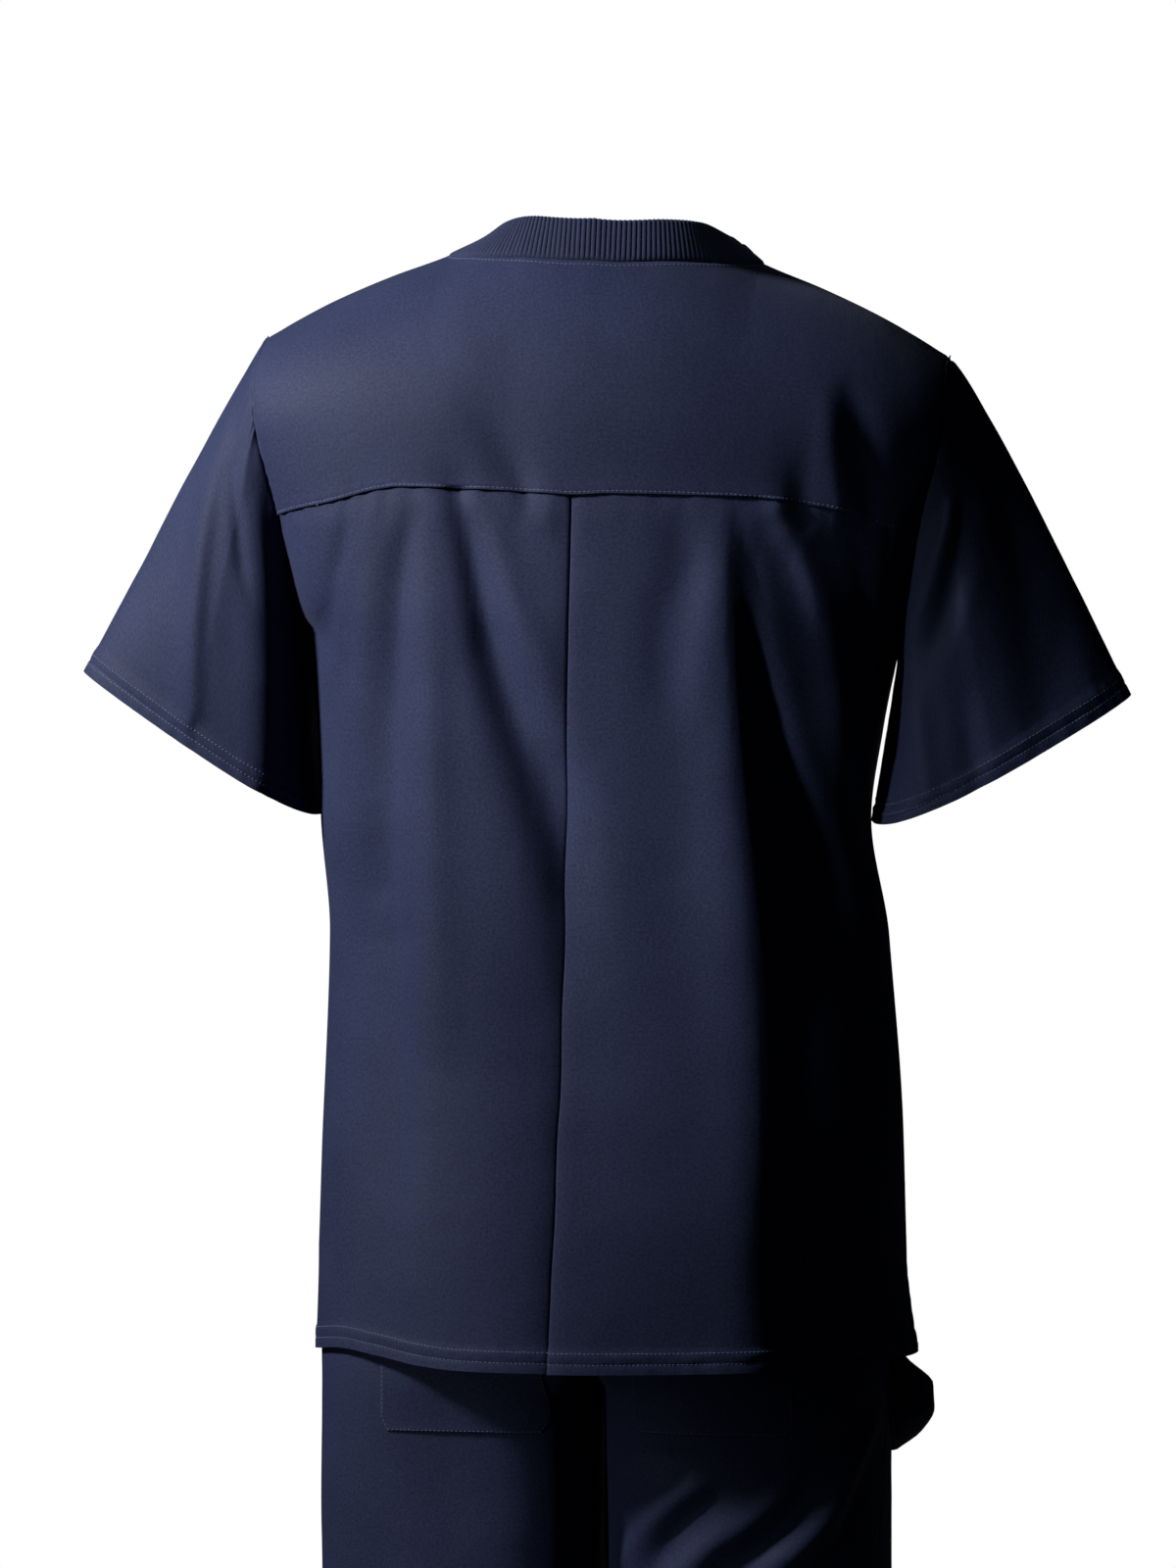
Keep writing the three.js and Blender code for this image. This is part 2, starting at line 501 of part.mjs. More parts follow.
function sleevePoint(cut, turn, t) {
  const { point: a, normal } = armhole3d(cut.side, turn);
  const c = Math.cos(rad(turn)), b = Math.sin(rad(turn));
  const drop = (b > 0 ? cut.backDrop : cut.frontDrop) * Math.abs(b) * (1 - cut.lean * c);
  const h = new THREE.Vector3(
    cut.side * mix(cut.innerX, cut.tipX, (1 + c) / 2),
    cut.tipY * (1 + c) / 2 + cut.depth * b * (1 - 0.42 * c),
    mix(cut.innerZ, cut.tipZ, (1 + c) / 2) - drop,
  );
  const way = h.clone().sub(a).normalize();
  const out = sleeveSide(cut, turn);
  a.addScaledVector(way, 1.4).addScaledVector(normal, 0.95 * (1 - out.dot(normal)));
  const p = a.lerp(h, t);
  // folds that fan out from the armhole, and the cap's fullness
  const puff = Math.sin(Math.PI * t) * (5 * Math.max(0, b) * (1 - Math.abs(c)) + 3 * Math.max(0, -b));
  const fan = 5 * ease(t / 0.5) * (Math.exp(-(((turn - 62) / 11) ** 2)) - 0.8 * Math.exp(-(((turn - 88) / 9) ** 2)) + 0.7 * Math.exp(-(((turn - 118) / 12) ** 2)) - 0.7 * Math.exp(-(((turn - 275) / 12) ** 2)));
  p.y += Math.sign(b) * (puff + fan);
  const bulge = cut.bulge * Math.sin(Math.PI * t ** 0.55) * Math.max(0, c) ** 2;
  p.x += cut.side * 0.87 * bulge;
  p.z += 0.48 * bulge;
  return tilted(p);
}
// Which way the sleeve's cloth faces at its seam: out from the sleeve's own middle line.
function sleeveSide(cut, turn) {
  const c = Math.cos(rad(turn)), b = Math.sin(rad(turn));
  return new THREE.Vector3(cut.side * 0.87 * c, b, 0.48 * c).normalize();
}
for (const cut of SLEEVES) {
  const rows = [0, 0.14, 0.32, 0.52, 0.74, 0.92, 1].map((t) => ROUND.map((a) => sleevePoint(cut, a, t)));
  piece(topPieces, "top_sleeve_" + cut.name, sheet(rows, (i) => (i >= 5 ? HEM_CLOTH : CLOTH), {
    closed: true,
    away: (p) => new THREE.Vector3(cut.side * mix(225, 285, clamp((p.z + 120) / -220, 0, 1)), 0, p.z),
    normalAt: (i, j, n) => (i ? n : n.add(armhole3d(cut.side, ROUND[j]).normal).add(new THREE.Vector3(0, 0, -0.1)).normalize()),
  }));
}

// ---------------------------------------------------------------- trousers
// angle 0 is the leg's outer side, 90 the back, 180 the inseam, -90 the front.
function ring(side, angle, z, out = 0) {
  const middle = leg.middle(z), half = leg.half(z), power = 2 / leg.square(z);
  const c = Math.cos(rad(angle)), s = Math.sin(rad(angle));
  const x = middle + half * Math.sign(c) * Math.abs(c) ** power;
  const y = leg.shift(z) + (s >= 0 ? leg.back(z) : leg.front(z)) * Math.sign(s) * Math.abs(s) ** power;
  const p = new THREE.Vector3(side * x, y, z);
  if (out) {
    const n = across((u, v) => ring(side, u, v), angle, z, 1, 1.5);
    if (n.dot(new THREE.Vector3(side * (x - middle), y, 0)) < 0) n.negate();
    p.addScaledVector(n, out);
  }
  return p;
}
// The angle at which the ring meets the middle of the body, or the inseam below the crotch.
function innerAngle(z) {
  const share = clamp(leg.middle(z) / leg.half(z), 0, 1);
  return (Math.acos(-Math.pow(share, leg.square(z) / 2)) * 180) / Math.PI;
}
const sideAngle = (side, z) => (side < 0 ? leg.turn(z) : -2);
function legFold(side, angle, z) {
  let sum = 0;
  for (const f of LEG_FOLDS) {
    const t = (f.z0 - z) / (f.z0 - f.z1);
    if (f.side !== side || t < -0.3 || t > 1.3) continue;
    sum += f.depth * ease((t + 0.3) / 0.5) * ease((1.3 - t) / 0.5) * Math.exp(-(((angle - mix(f.a0, f.a1, t)) / f.wide) ** 2));
  }
  return sum;
}
function legPoint(side, face, across, z, out = 0) {
  const from = sideAngle(side, z), to = face * innerAngle(z);
  const angle = mix(from, to, across);
  const quiet = Math.min(1, 6 * across, 6 * (1 - across));
  const p = ring(side, angle, z, out + quiet * legFold(side, angle, z) + 0.0001);
  const closing = ease((-640 - z) / (CROTCH_Z * -1 - 640));
  const least = mix(GAP, 1.1, closing);
  if (side * p.x < least) p.x = side * least;
    if (across === 0 || (across === 1 && z <= CROTCH_Z)) {
    // the two edges of a seam stop short of each other along the ring
    const n = ring(side, angle + face * 0.2, z).sub(ring(side, angle, z)).normalize();
    p.addScaledVector(across === 0 ? n : n.negate(), LEG_GAP);
  }
  return p;
}
const LEG_HEIGHTS = [-530.3, -585, -640, -690, -735, -762, -785, -800, -820, -855, -900, -960, -1040, -1120, -1210, -1320, -1440, -1528, LEG_HEM_Z];
const LEG_COLUMNS = [0, 0.11, 0.24, 0.38, 0.52, 0.66, 0.8, 0.91, 1];
for (const side of [1, -1])
  for (const face of [1, -1]) {
    const rows = LEG_HEIGHTS.map((z) => LEG_COLUMNS.map((u) => legPoint(side, face, u, z)));
    piece(trouserPieces, "trouser_" + (face > 0 ? "back_" : "front_") + (side > 0 ? "left" : "right"),
      sheet(rows, (i) => (i >= LEG_HEIGHTS.length - 2 ? HEM_CLOTH : CLOTH), { away: (p) => new THREE.Vector3(side * leg.middle(p.z), leg.shift(p.z), p.z) }));
  }

// Waistband: one ring of cloth over elastic, gathered flat.
{
  const turns = 26;
  const rows = [BAND_SEAM_Z + GAP, mix(BAND_SEAM_Z, WAIST_Z, 0.5), WAIST_Z].map((z) =>
    Array.from({ length: turns }, (_, k) => {
      const angle = (360 * k) / turns;
      const c = Math.cos(rad(angle)), s = Math.sin(rad(angle)), power = 2 / leg.square(z);
      return new THREE.Vector3(leg.half(z) * Math.sign(c) * Math.abs(c) ** power, (s >= 0 ? leg.back(z) : leg.front(z)) * Math.sign(s) * Math.abs(s) ** power, z);
    }));
  piece(trouserPieces, "trouser_waistband", sheet(rows, 2.6, { closed: true, away: axis }));
}

// A point on a leg panel between its rows and columns, with the way that the cloth faces there.
function onPanel(side, face, u, z) {
  let i = 0, j = 0;
  while (i < LEG_HEIGHTS.length - 2 && z <= LEG_HEIGHTS[i + 1]) i++;
  while (j < LEG_COLUMNS.length - 2 && u >= LEG_COLUMNS[j + 1]) j++;
  const v = (z - LEG_HEIGHTS[i]) / (LEG_HEIGHTS[i + 1] - LEG_HEIGHTS[i]);
  const w = (u - LEG_COLUMNS[j]) / (LEG_COLUMNS[j + 1] - LEG_COLUMNS[j]);
  const corner = (di, dj) => legPoint(side, face, LEG_COLUMNS[j + dj], LEG_HEIGHTS[i + di]);
  const point = corner(0, 0).lerp(corner(0, 1), w).lerp(corner(1, 0).lerp(corner(1, 1), w), v);
  const normal = across((a, b) => legPoint(side, face, a, b), clamp(u, 0.02, 0.98), z, 0.02, 6);
  if (normal.dot(new THREE.Vector3(side * (Math.abs(point.x) - leg.middle(z)), point.y, 0)) < 0) normal.negate();
  return { point, normal };
}
const between = (list, a, b, room) => list.filter((v) => v > Math.min(a, b) + room && v < Math.max(a, b) - room);
// A patch has the panel's own columns where they are inside it, and keeps the rest of them just inside its edge.
function patch(side, face, top, bottom, edges, off, round) {
  const heights = [top, ...between(LEG_HEIGHTS, top, bottom, 3), bottom + round * 0.6, bottom + round * 0.25, bottom].sort((a, b) => b - a);
  const ends = heights.map((z) => edges(z));
  const low = Math.min(...ends.map((e) => e[0])), high = Math.max(...ends.map((e) => e[1]));
  const columns = LEG_COLUMNS.filter((u) => u > low && u < high), room = 0.006;
  const rows = heights.map((z, i) => {
    const [a, b] = ends[i];
    const inner = columns.map((u, k) => clamp(u, a + room * (k + 1), b - room * (columns.length - k)));
    return [a, ...inner, b].map((u) => {
      const { point, normal } = onPanel(side, face, u, z);
      return point.addScaledVector(normal, LIFT + off(z, (u - a) / (b - a)));
    });
  });
  return sheet(rows, CLOTH, { away: (p) => new THREE.Vector3(side * leg.middle(p.z), 0, p.z) });
}

// Back patch pockets, cut square with clipped lower corners.
function columnAtX(side, face, x, z) {
  let low = 0.02, high = 0.999;
  for (let k = 0; k < 24; k++) {
    const u = (low + high) / 2;
    if (Math.abs(onPanel(side, face, u, z).point.x) > x) low = u; else high = u;
  }
  return low;
}
for (const side of [1, -1]) {
  const q = BACK_POCKET;
  const edges = (z) => {
    const clip = Math.max(0, q.corner - (z - q.bottom)) * 0.6;
    return [columnAtX(side, 1, q.outer - clip, z), columnAtX(side, 1, q.inner + clip, z)];
  };
  piece(trouserPieces, "trouser_back_pocket_" + (side > 0 ? "left" : "right"), patch(side, 1, q.top, q.bottom, edges, () => 0, q.corner));
}

// Side patch pockets on the front panels; they stand off the hip below the top's hem, the right one more.
for (const side of [1, -1]) {
  const q = SIDE_POCKET;
  const edges = (z) => {
    const corner = Math.max(0, 1 - (z - q.bottom) / 34) ** 2;
    return [q.near + q.round * corner, q.far - q.round * corner];
  };
  const off = (z, u) => 0.5 + (side > 0 ? stand.left(z) : stand.right(z)) * Math.sin(Math.PI * clamp(u, 0, 1) ** 0.3);
  piece(trouserPieces, "trouser_side_pocket_" + (side > 0 ? "left" : "right"), patch(side, -1, q.top, q.bottom, edges, off, 30));
}

export default scrubs;
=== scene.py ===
# Medical scrubs, top and trousers, hollow as worn. Tables are in millimetres, objects in metres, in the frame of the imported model.
import math

import bpy
import numpy as np
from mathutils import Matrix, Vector


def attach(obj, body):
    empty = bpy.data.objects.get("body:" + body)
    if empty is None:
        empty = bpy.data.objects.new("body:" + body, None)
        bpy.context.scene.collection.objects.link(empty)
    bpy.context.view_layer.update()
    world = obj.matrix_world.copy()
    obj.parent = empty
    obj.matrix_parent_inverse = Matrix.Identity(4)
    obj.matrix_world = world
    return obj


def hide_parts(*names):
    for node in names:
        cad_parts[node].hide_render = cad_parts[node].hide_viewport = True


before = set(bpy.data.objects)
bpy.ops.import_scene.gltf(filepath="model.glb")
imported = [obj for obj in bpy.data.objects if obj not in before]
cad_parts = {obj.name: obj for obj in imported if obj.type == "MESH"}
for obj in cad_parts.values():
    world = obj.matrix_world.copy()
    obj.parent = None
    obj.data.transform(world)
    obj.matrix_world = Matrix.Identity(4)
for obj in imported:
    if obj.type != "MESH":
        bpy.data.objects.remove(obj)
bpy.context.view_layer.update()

# ------------------------------------------------------------------ camera
AZ, DIST, CAM_Z, AXIS_PX, K = 188.0, 4.2, -0.366, 619.0, 0.00068
a = math.radians(AZ)
back_dir = Vector((math.sin(a), -math.cos(a), 0))
right_dir = Vector((math.cos(a), math.sin(a), 0))
cam_data = bpy.data.cameras.new("camera")
cam_data.sensor_fit = "VERTICAL"
cam_data.sensor_height = 36
cam_data.lens = DIST / K / 1600 * 36
cam_data.clip_end = 60
cam = bpy.data.objects.new("camera", cam_data)
bpy.context.scene.collection.objects.link(cam)
cam.location = back_dir * DIST + Vector((0, 0, CAM_Z)) - right_dir * ((AXIS_PX - 600) * K)
cam.rotation_euler = (-back_dir).to_track_quat("-Z", "Y").to_euler()
bpy.context.scene.camera = cam

# ------------------------------------------------------------------ sizes shared with the solids
CLOTH = 0.7
GAP = 0.06
ARMPIT_Z, TURN_Z, SHOULDER_X, SHOULDER_Z = -265, -130, 238, -65
ARMHOLE_BACK, ARMHOLE_FRONT, OVER, ROUND_BACK, ROUND_FRONT = 64, 61, 100, 1.15, 1.3
NECK_X, NECK_BACK, V_POINT_Z = 110, 74, -165
BAND, BAND_TOP, BAND_POINT_Z = 30, {1: (88, 10), -1: (95, 9)}, -112
YOKE_Z, BACK_HEM_Z, FRONT_HEM_Z, VENT_TOP_Z = -169, -761, -755, -685
SHOULDER_TILT = 9.5
WAIST_Z, BAND_SEAM_Z, CROTCH_Z, LEG_HEM_Z = -490, -530, -785, -1548
RIDGE_END = OVER * math.pi / 2
PIT = ARMPIT_Z - TURN_Z

TORSO = [
    dict(z=-765, side=208.5, back=145, front=138, sway=-5.5, power=2.2, bend=0.46),
    dict(z=-690, side=204, back=143, front=137, sway=-4, power=2.2, bend=0.46),
    dict(z=-600, side=201.5, back=137, front=135, sway=-4, power=2.2, bend=0.47),
    dict(z=-470, side=194.5, back=131, front=130, sway=-1.5, power=2.3, bend=0.49),
    dict(z=-385, side=191.5, back=132, front=131, sway=8, power=2.35, bend=0.5),
    dict(z=-320, side=197.5, back=134, front=132, sway=5.5, power=2.4, bend=0.51),
    dict(z=-265, side=206, back=134, front=130, sway=3, power=2.4, bend=0.52),
    dict(z=-200, side=217, back=131, front=118, sway=1, power=2.3, bend=0.65),
    dict(z=-130, side=235, back=127, front=104, sway=0, power=2.2, bend=0.8),
    dict(z=-65, side=238, back=127, front=104, sway=0, power=2.2, bend=0.8),
]
ARMHOLE = [
    dict(z=-265, back=206, front=206), dict(z=-232, back=211, front=206), dict(z=-200, back=217, front=209),
    dict(z=-165, back=226, front=217), dict(z=-130, back=235, front=228), dict(z=-91, back=239, front=236),
    dict(z=-65, back=238, front=238),
]
YOKE_SEAM = [dict(s=a, z=b) for a, b in ((-1, -189), (-0.9, -183.5), (-0.77, -175.5), (-0.62, -171), (-0.5, -169), (-0.3, -169.3), (-0.08, -170), (0.02, -171.6), (0.15, -170.4),
             (0.3, -169.6), (0.55, -169.2), (0.64, -171.8), (0.72, -176), (0.8, -180.5), (0.9, -184.5), (1, -189))]
BACK_HEM = [dict(s=a, z=b) for a, b in ((-1, -756), (-0.8, -758.5), (-0.5, -761), (0, -762), (0.4, -761), (0.55, -758.5), (0.7, -754), (0.83, -751), (1, -756))]
RIDGE = [dict(x=0, z=32), dict(x=40, z=27), dict(x=80, z=12.5), dict(x=110, z=-3), dict(x=150, z=-18.5),
         dict(x=190, z=-36.5), dict(x=215, z=-50), dict(x=240, z=-65)]
SLEEVES = [
    dict(name="left", side=1, tipX=367, tipZ=-297, tipY=10, innerX=201, innerZ=-391, depth=47, backDrop=6, frontDrop=2, lean=0.6, bulge=2.5),
    dict(name="right", side=-1, tipX=362.5, tipZ=-296, tipY=10, innerX=186, innerZ=-384, depth=47, backDrop=15, frontDrop=2, lean=0.5, bulge=5.5),
]
LEG = [
    dict(z=-490, middle=0, half=172, back=106, front=95, shift=0, square=2.3, turn=0),
    dict(z=-530, middle=0, half=176, back=109, front=98, shift=0, square=2.3, turn=0),
    dict(z=-580, middle=0, half=186, back=112, front=101, shift=0, square=2.3, turn=0),
    dict(z=-640, middle=0, half=192, back=115, front=103, shift=0, square=2.35, turn=0),
    dict(z=-690, middle=28, half=166, back=115, front=103, shift=0, square=2.4, turn=0),
    dict(z=-740, middle=68, half=129, back=113, front=102, shift=0, square=2.45, turn=1),
    dict(z=-785, middle=98.5, half=97.5, back=110, front=99, shift=0, square=2.5, turn=5),
    dict(z=-850, middle=99.2, half=97.6, back=104, front=96, shift=0, square=2.5, turn=14),
    dict(z=-915, middle=99.6, half=97.6, back=99, front=93, shift=0, square=2.4, turn=22),
    dict(z=-1000, middle=102, half=91, back=92, front=90, shift=2, square=2.3, turn=24),
    dict(z=-1120, middle=106, half=83, back=83, front=85, shift=4, square=2.2, turn=22),
    dict(z=-1300, middle=109, half=78, back=79, front=77, shift=10, square=2.2, turn=16),
    dict(z=-1550, middle=113, half=76, back=76, front=74, shift=10, square=2.2, turn=12),
]
SIDE_POCKET_STAND = [
    dict(z=-640, left=0, right=0), dict(z=-745, left=1, right=1), dict(z=-762, left=2, right=9), dict(z=-782, left=4, right=29),
    dict(z=-798, left=5, right=29), dict(z=-814, left=3, right=20), dict(z=-828, left=0, right=3),
]
BACK_POCKET = dict(inner=31, outer=141, top=-648, bottom=-806, corner=9)
SIDE_POCKET = dict(near=0.03, far=0.56, top=-640, bottom=-828, round=0.09)


# ------------------------------------------------------------------ small maths
def ease(t):
    c = np.clip(t, 0, 1)
    return c * c * (3 - 2 * c)


def mix(p, q, t):
    return p + (q - p) * t


def column(table, key, name):
    rows = sorted(table, key=lambda r: r[key])
    x = np.array([r[key] for r in rows], float)
    y = np.array([r[name] for r in rows], float)
    d = np.diff(y) / np.diff(x)
    m = np.empty_like(y)
    m[0], m[-1] = d[0], d[-1]
    for i in range(1, len(y) - 1):
        m[i] = 0 if d[i - 1] * d[i] <= 0 else 2 * d[i - 1] * d[i] / (d[i - 1] + d[i])

    def at(v):
        c = np.clip(v, x[0], x[-1])
        i = np.clip(np.searchsorted(x, c, side="right") - 1, 0, len(x) - 2)
        h = x[i + 1] - x[i]
        t = (c - x[i]) / h
        return y[i] * (1 + 2 * t) * (1 - t) ** 2 + h * m[i] * t * (1 - t) ** 2 + y[i + 1] * t * t * (3 - 2 * t) + h * m[i + 1] * t * t * (t - 1)

    return at


torso = {n: column(TORSO, "z", n) for n in TORSO[0] if n != "z"}
armhole = {n: column(ARMHOLE, "z", n) for n in ARMHOLE[0] if n != "z"}
ridge = column(RIDGE, "x", "z")
seam_height, back_hem = column(YOKE_SEAM, "s", "z"), column(BACK_HEM, "s", "z")
leg = {n: column(LEG, "z", n) for n in LEG[0] if n != "z"}
stand = {n: column(SIDE_POCKET_STAND, "z", n) for n in ("left", "right")}


def unit(v):
    return v / np.maximum(np.linalg.norm(v, axis=-1, keepdims=True), 1e-9)


def vec(x, y, z):
    return np.stack(np.broadcast_arrays(np.asarray(x, float), np.asarray(y, float), np.asarray(z, float)), -1)


RNG = np.random.default_rng(7)
LATTICE = RNG.uniform(-1, 1, (64, 64))


def noise(u, v, size, seed=0):
    """Smooth value noise of u and v, both in millimetres, with bumps about size wide; from -1 to 1."""
    x, y = u / size + 13.7 * seed, v / size + 5.3 * seed
    i, j = np.floor(x).astype(int), np.floor(y).astype(int)
    s, t = x - i, y - j
    s, t = s * s * s * (s * (6 * s - 15) + 10), t * t * t * (t * (6 * t - 15) + 10)
    g = lambda p, q: LATTICE[p % 64, q % 64]
    return mix(mix(g(i, j), g(i + 1, j), s), mix(g(i, j + 1), g(i + 1, j + 1), s), t)


# ------------------------------------------------------------------ folds
def fold(path, wide, depth, skew=0.0, sharp=2.0):
    """A trough (depth below 0) or ridge along path. wide and depth are lists spread evenly from its start to its end; skew above 0 makes
    the side on the left of its way steeper."""
    p = np.array(path, float)
    knots = np.linspace(0, 1, len(p))
    t = np.linspace(0, 1, 8 * (len(p) - 1) + 1)
    if len(p) > 2:  # rounded path through its points
        m = np.gradient(p, axis=0)
        k = np.clip((t * (len(p) - 1)).astype(int), 0, len(p) - 2)
        f = (t * (len(p) - 1) - k)[:, None]
        q = p[k] * (1 + 2 * f) * (1 - f) ** 2 + m[k] * f * (1 - f) ** 2 + p[k + 1] * f * f * (3 - 2 * f) + m[k + 1] * f * f * (f - 1)
    else:
        q = p[0] + (p[1] - p[0]) * t[:, None]
    cum = np.concatenate([[0], np.cumsum(np.linalg.norm(np.diff(q, axis=0), axis=1))])
    return dict(q=q, cum=cum / cum[-1], wide=np.array(wide, float), depth=np.array(depth, float), skew=skew, sharp=sharp)


def fold_sum(folds, x, z):
    total = np.zeros(x.shape)
    flat = total.ravel()
    X, Z = x.ravel(), z.ravel()
    for f in folds:
        q, reach = f["q"], 3.2 * f["wide"].max()
        inside = np.where((X > q[:, 0].min() - reach) & (X < q[:, 0].max() + reach) & (Z > q[:, 1].min() - reach) & (Z < q[:, 1].max() + reach))[0]
        if not len(inside):
            continue
        P = np.stack([X[inside], Z[inside]], 1)
        best = np.full(len(inside), 1e9)
        along = np.zeros(len(inside))
        side = np.zeros(len(inside))
        for k in range(len(q) - 1):
            d = q[k + 1] - q[k]
            r = P - q[k]
            t = np.clip((r @ d) / (d @ d), 0, 1)
            off = r - t[:, None] * d
            dist = np.hypot(off[:, 0], off[:, 1])
            near = dist < best
            best[near] = dist[near]
            along[near] = (f["cum"][k] + t * (f["cum"][k + 1] - f["cum"][k]))[near]
            side[near] = np.sign(d[0] * r[:, 1] - d[1] * r[:, 0])[near]
        w = np.interp(along, np.linspace(0, 1, len(f["wide"])), f["wide"]) * (1 - f["skew"] * side)
        h = np.interp(along, np.linspace(0, 1, len(f["depth"])), f["depth"])
        flat[inside] += h * np.exp(-((best / w) ** f["sharp"]))
    return total


# Folds of the top behind: paths are (x, z) seen from behind, +x on the left of the picture.
BACK_FOLDS = [
    # yoke
    fold([(50, -40), (52, -100), (50, -160), (46, -230)], [26, 26, 26, 24], [-0.6, -2.4, -2.6, -0.8]),
    fold([(88, -96), (73, -122), (59, -142), (46, -158), (36, -178), (26, -192)], [6, 8, 8, 8, 7, 6], [0, -2.2, -3.4, -4.2, -2.4, 0], 0.25),
    fold([(97, -126), (94, -148), (90, -168)], [9, 9, 9], [0, -1.4, -3.0], 0.1),
    fold([(-156, -92), (-161, -112), (-168, -142), (-172, -172)], [8, 8, 8, 8], [0, 2.6, 4, 2.6]),
    fold([(-172, -92), (-182, -120), (-190, -142), (-194, -176)], [7, 8, 8, 7], [0, -4.4, -5.4, -3]),
    fold([(-116, -130), (-125, -154), (-131, -174)], [5, 6, 7], [0, 2.4, 2.4]),
    fold([(-132, -136), (-143, -158), (-149, -182)], [6, 6, 7], [0, -2.6, -2]),
    # left of the pleat
    fold([(160, -176), (171, -219), (181, -252), (189, -306)], [6, 8, 9, 9], [-0.5, -2.8, -2.4, 0]),
    fold([(139, -186), (150, -238), (157, -300), (164, -380)], [9, 10, 10, 11], [0, 2.0, 1.8, 0]),
    fold([(112, -180), (122, -211), (127, -251), (132, -305), (138, -370), (146, -435)], [6, 9, 11, 13, 15, 16], [-0.5, -3.8, -4.8, -5.2, -4.6, -3], -0.15),
    fold([(104, -182), (103, -300), (102, -440), (100, -600)], [11, 13, 16, 20], [0.5, 3.2, 3.4, 0]),
    fold([(86, -168), (77, -208), (69, -244), (60, -283), (41, -335), (25, -372), (12, -430), (10, -520)], [8, 10, 14, 18, 20, 20, 18, 14], [-3, -7, -10.5, -12, -10.5, -7.5, -3, 0], 0.12),
    fold([(60, -186), (48, -236), (28, -290), (22, -330)], [8, 11, 12, 12], [0, 2.2, 2.2, 0]),
    fold([(24, -172), (25, -186), (22, -204)], [6, 7, 7], [0.6, 1.8, 0]),
    fold([(142, -380), (139, -480), (136, -580), (134, -660), (130, -750)], [16, 27, 30, 28, 26], [-0.6, -8.5, -8.5, -6, -3], -0.4),
    fold([(12, -420), (12, -520), (12, -620), (12, -720)], [34, 44, 48, 44], [0, -3.6, -3.2, 0], -0.2),
    fold([(62, -560), (62, -670), (62, -760)], [90, 120, 130], [0, 6, 10]),
    # right of the pleat
    fold([(-60, -176), (-70, -212), (-60, -245), (-57, -275), (-54, -330)], [12, 15, 16, 16, 16], [-0.6, -2.4, -2.2, -1.6, 0]),
    fold([(-88, -184), (-87, -240), (-80, -290), (-76, -350)], [9, 11, 12, 13], [0, 2.2, 2, 0]),
    fold([(-99, -190), (-100, -235), (-102, -300), (-106, -366), (-111, -432), (-116, -500), (-120, -600), (-124, -756)], [8, 12, 17, 21, 24, 25, 25, 24], [1.5, 6, 10, 12, 12.5, 12, 9, 5.5], -0.5),
    fold([(-111, -204), (-116, -230), (-125, -287), (-137, -353), (-157, -420), (-178, -486), (-192, -540)], [5, 8, 12, 17, 23, 28, 28], [0, -6.5, -10.5, -12, -11, -8, -2], -0.4),
    fold([(-131, -180), (-150, -215), (-162, -260), (-171, -330), (-181, -400), (-192, -470)], [9, 11, 13, 13, 13, 10], [1.5, 6, 8, 7.5, 6, 0], 0.15),
    fold([(-184, -196), (-190, -250), (-195, -310), (-196, -380)], [7, 8, 9, 9], [-1, -4, -4, 0]),
    fold([(-60, -430), (-66, -560), (-74, -735)], [24, 28, 28], [0, 1.6, 0.6]),
    fold([(-130, -620), (-136, -690), (-140, -756)], [16, 18, 18], [0, -2.4, -1.6]),
]
FRONT_FOLDS = [
    fold([(150, -96), (110, -190), (70, -330), (60, -470)], [12, 18, 24, 26], [0, -6, -7, 0], 0.2),
    fold([(-152, -98), (-118, -200), (-80, -340), (-66, -520)], [12, 18, 24, 26], [0, -6.5, -7, 0], -0.2),
    fold([(186, -130), (166, -230), (150, -420), (140, -600)], [8, 11, 16, 18], [0, -6, -6, 0]),
    fold([(-188, -130), (-168, -220), (-154, -410), (-150, -620)], [8, 11, 16, 18], [0, -6.5, -6, 0]),
    fold([(168, -140), (140, -240), (116, -360)], [8, 11, 14], [0, 4, 0]),
    fold([(-170, -140), (-144, -240), (-122, -370)], [8, 11, 14], [0, 4.4, 0]),
    fold([(24, -190), (20, -360), (12, -560), (6, -750)], [24, 30, 34, 30], [0, 4, 5, 1]),
    fold([(-40, -210), (-34, -400), (-44, -600)], [16, 20, 22], [0, -3.4, 0]),
    fold([(110, -470), (104, -600), (110, -750)], [20, 24, 24], [0, 4.5, 1]),
    fold([(-104, -480), (-100, -610), (-92, -750)], [20, 24, 24], [0, 4, 1]),
    fold([(66, -540), (62, -650), (58, -752)], [16, 18, 18], [0, -4, -2]),
    fold([(-150, -560), (-144, -660), (-140, -752)], [14, 16, 16], [0, -4, -2]),
]
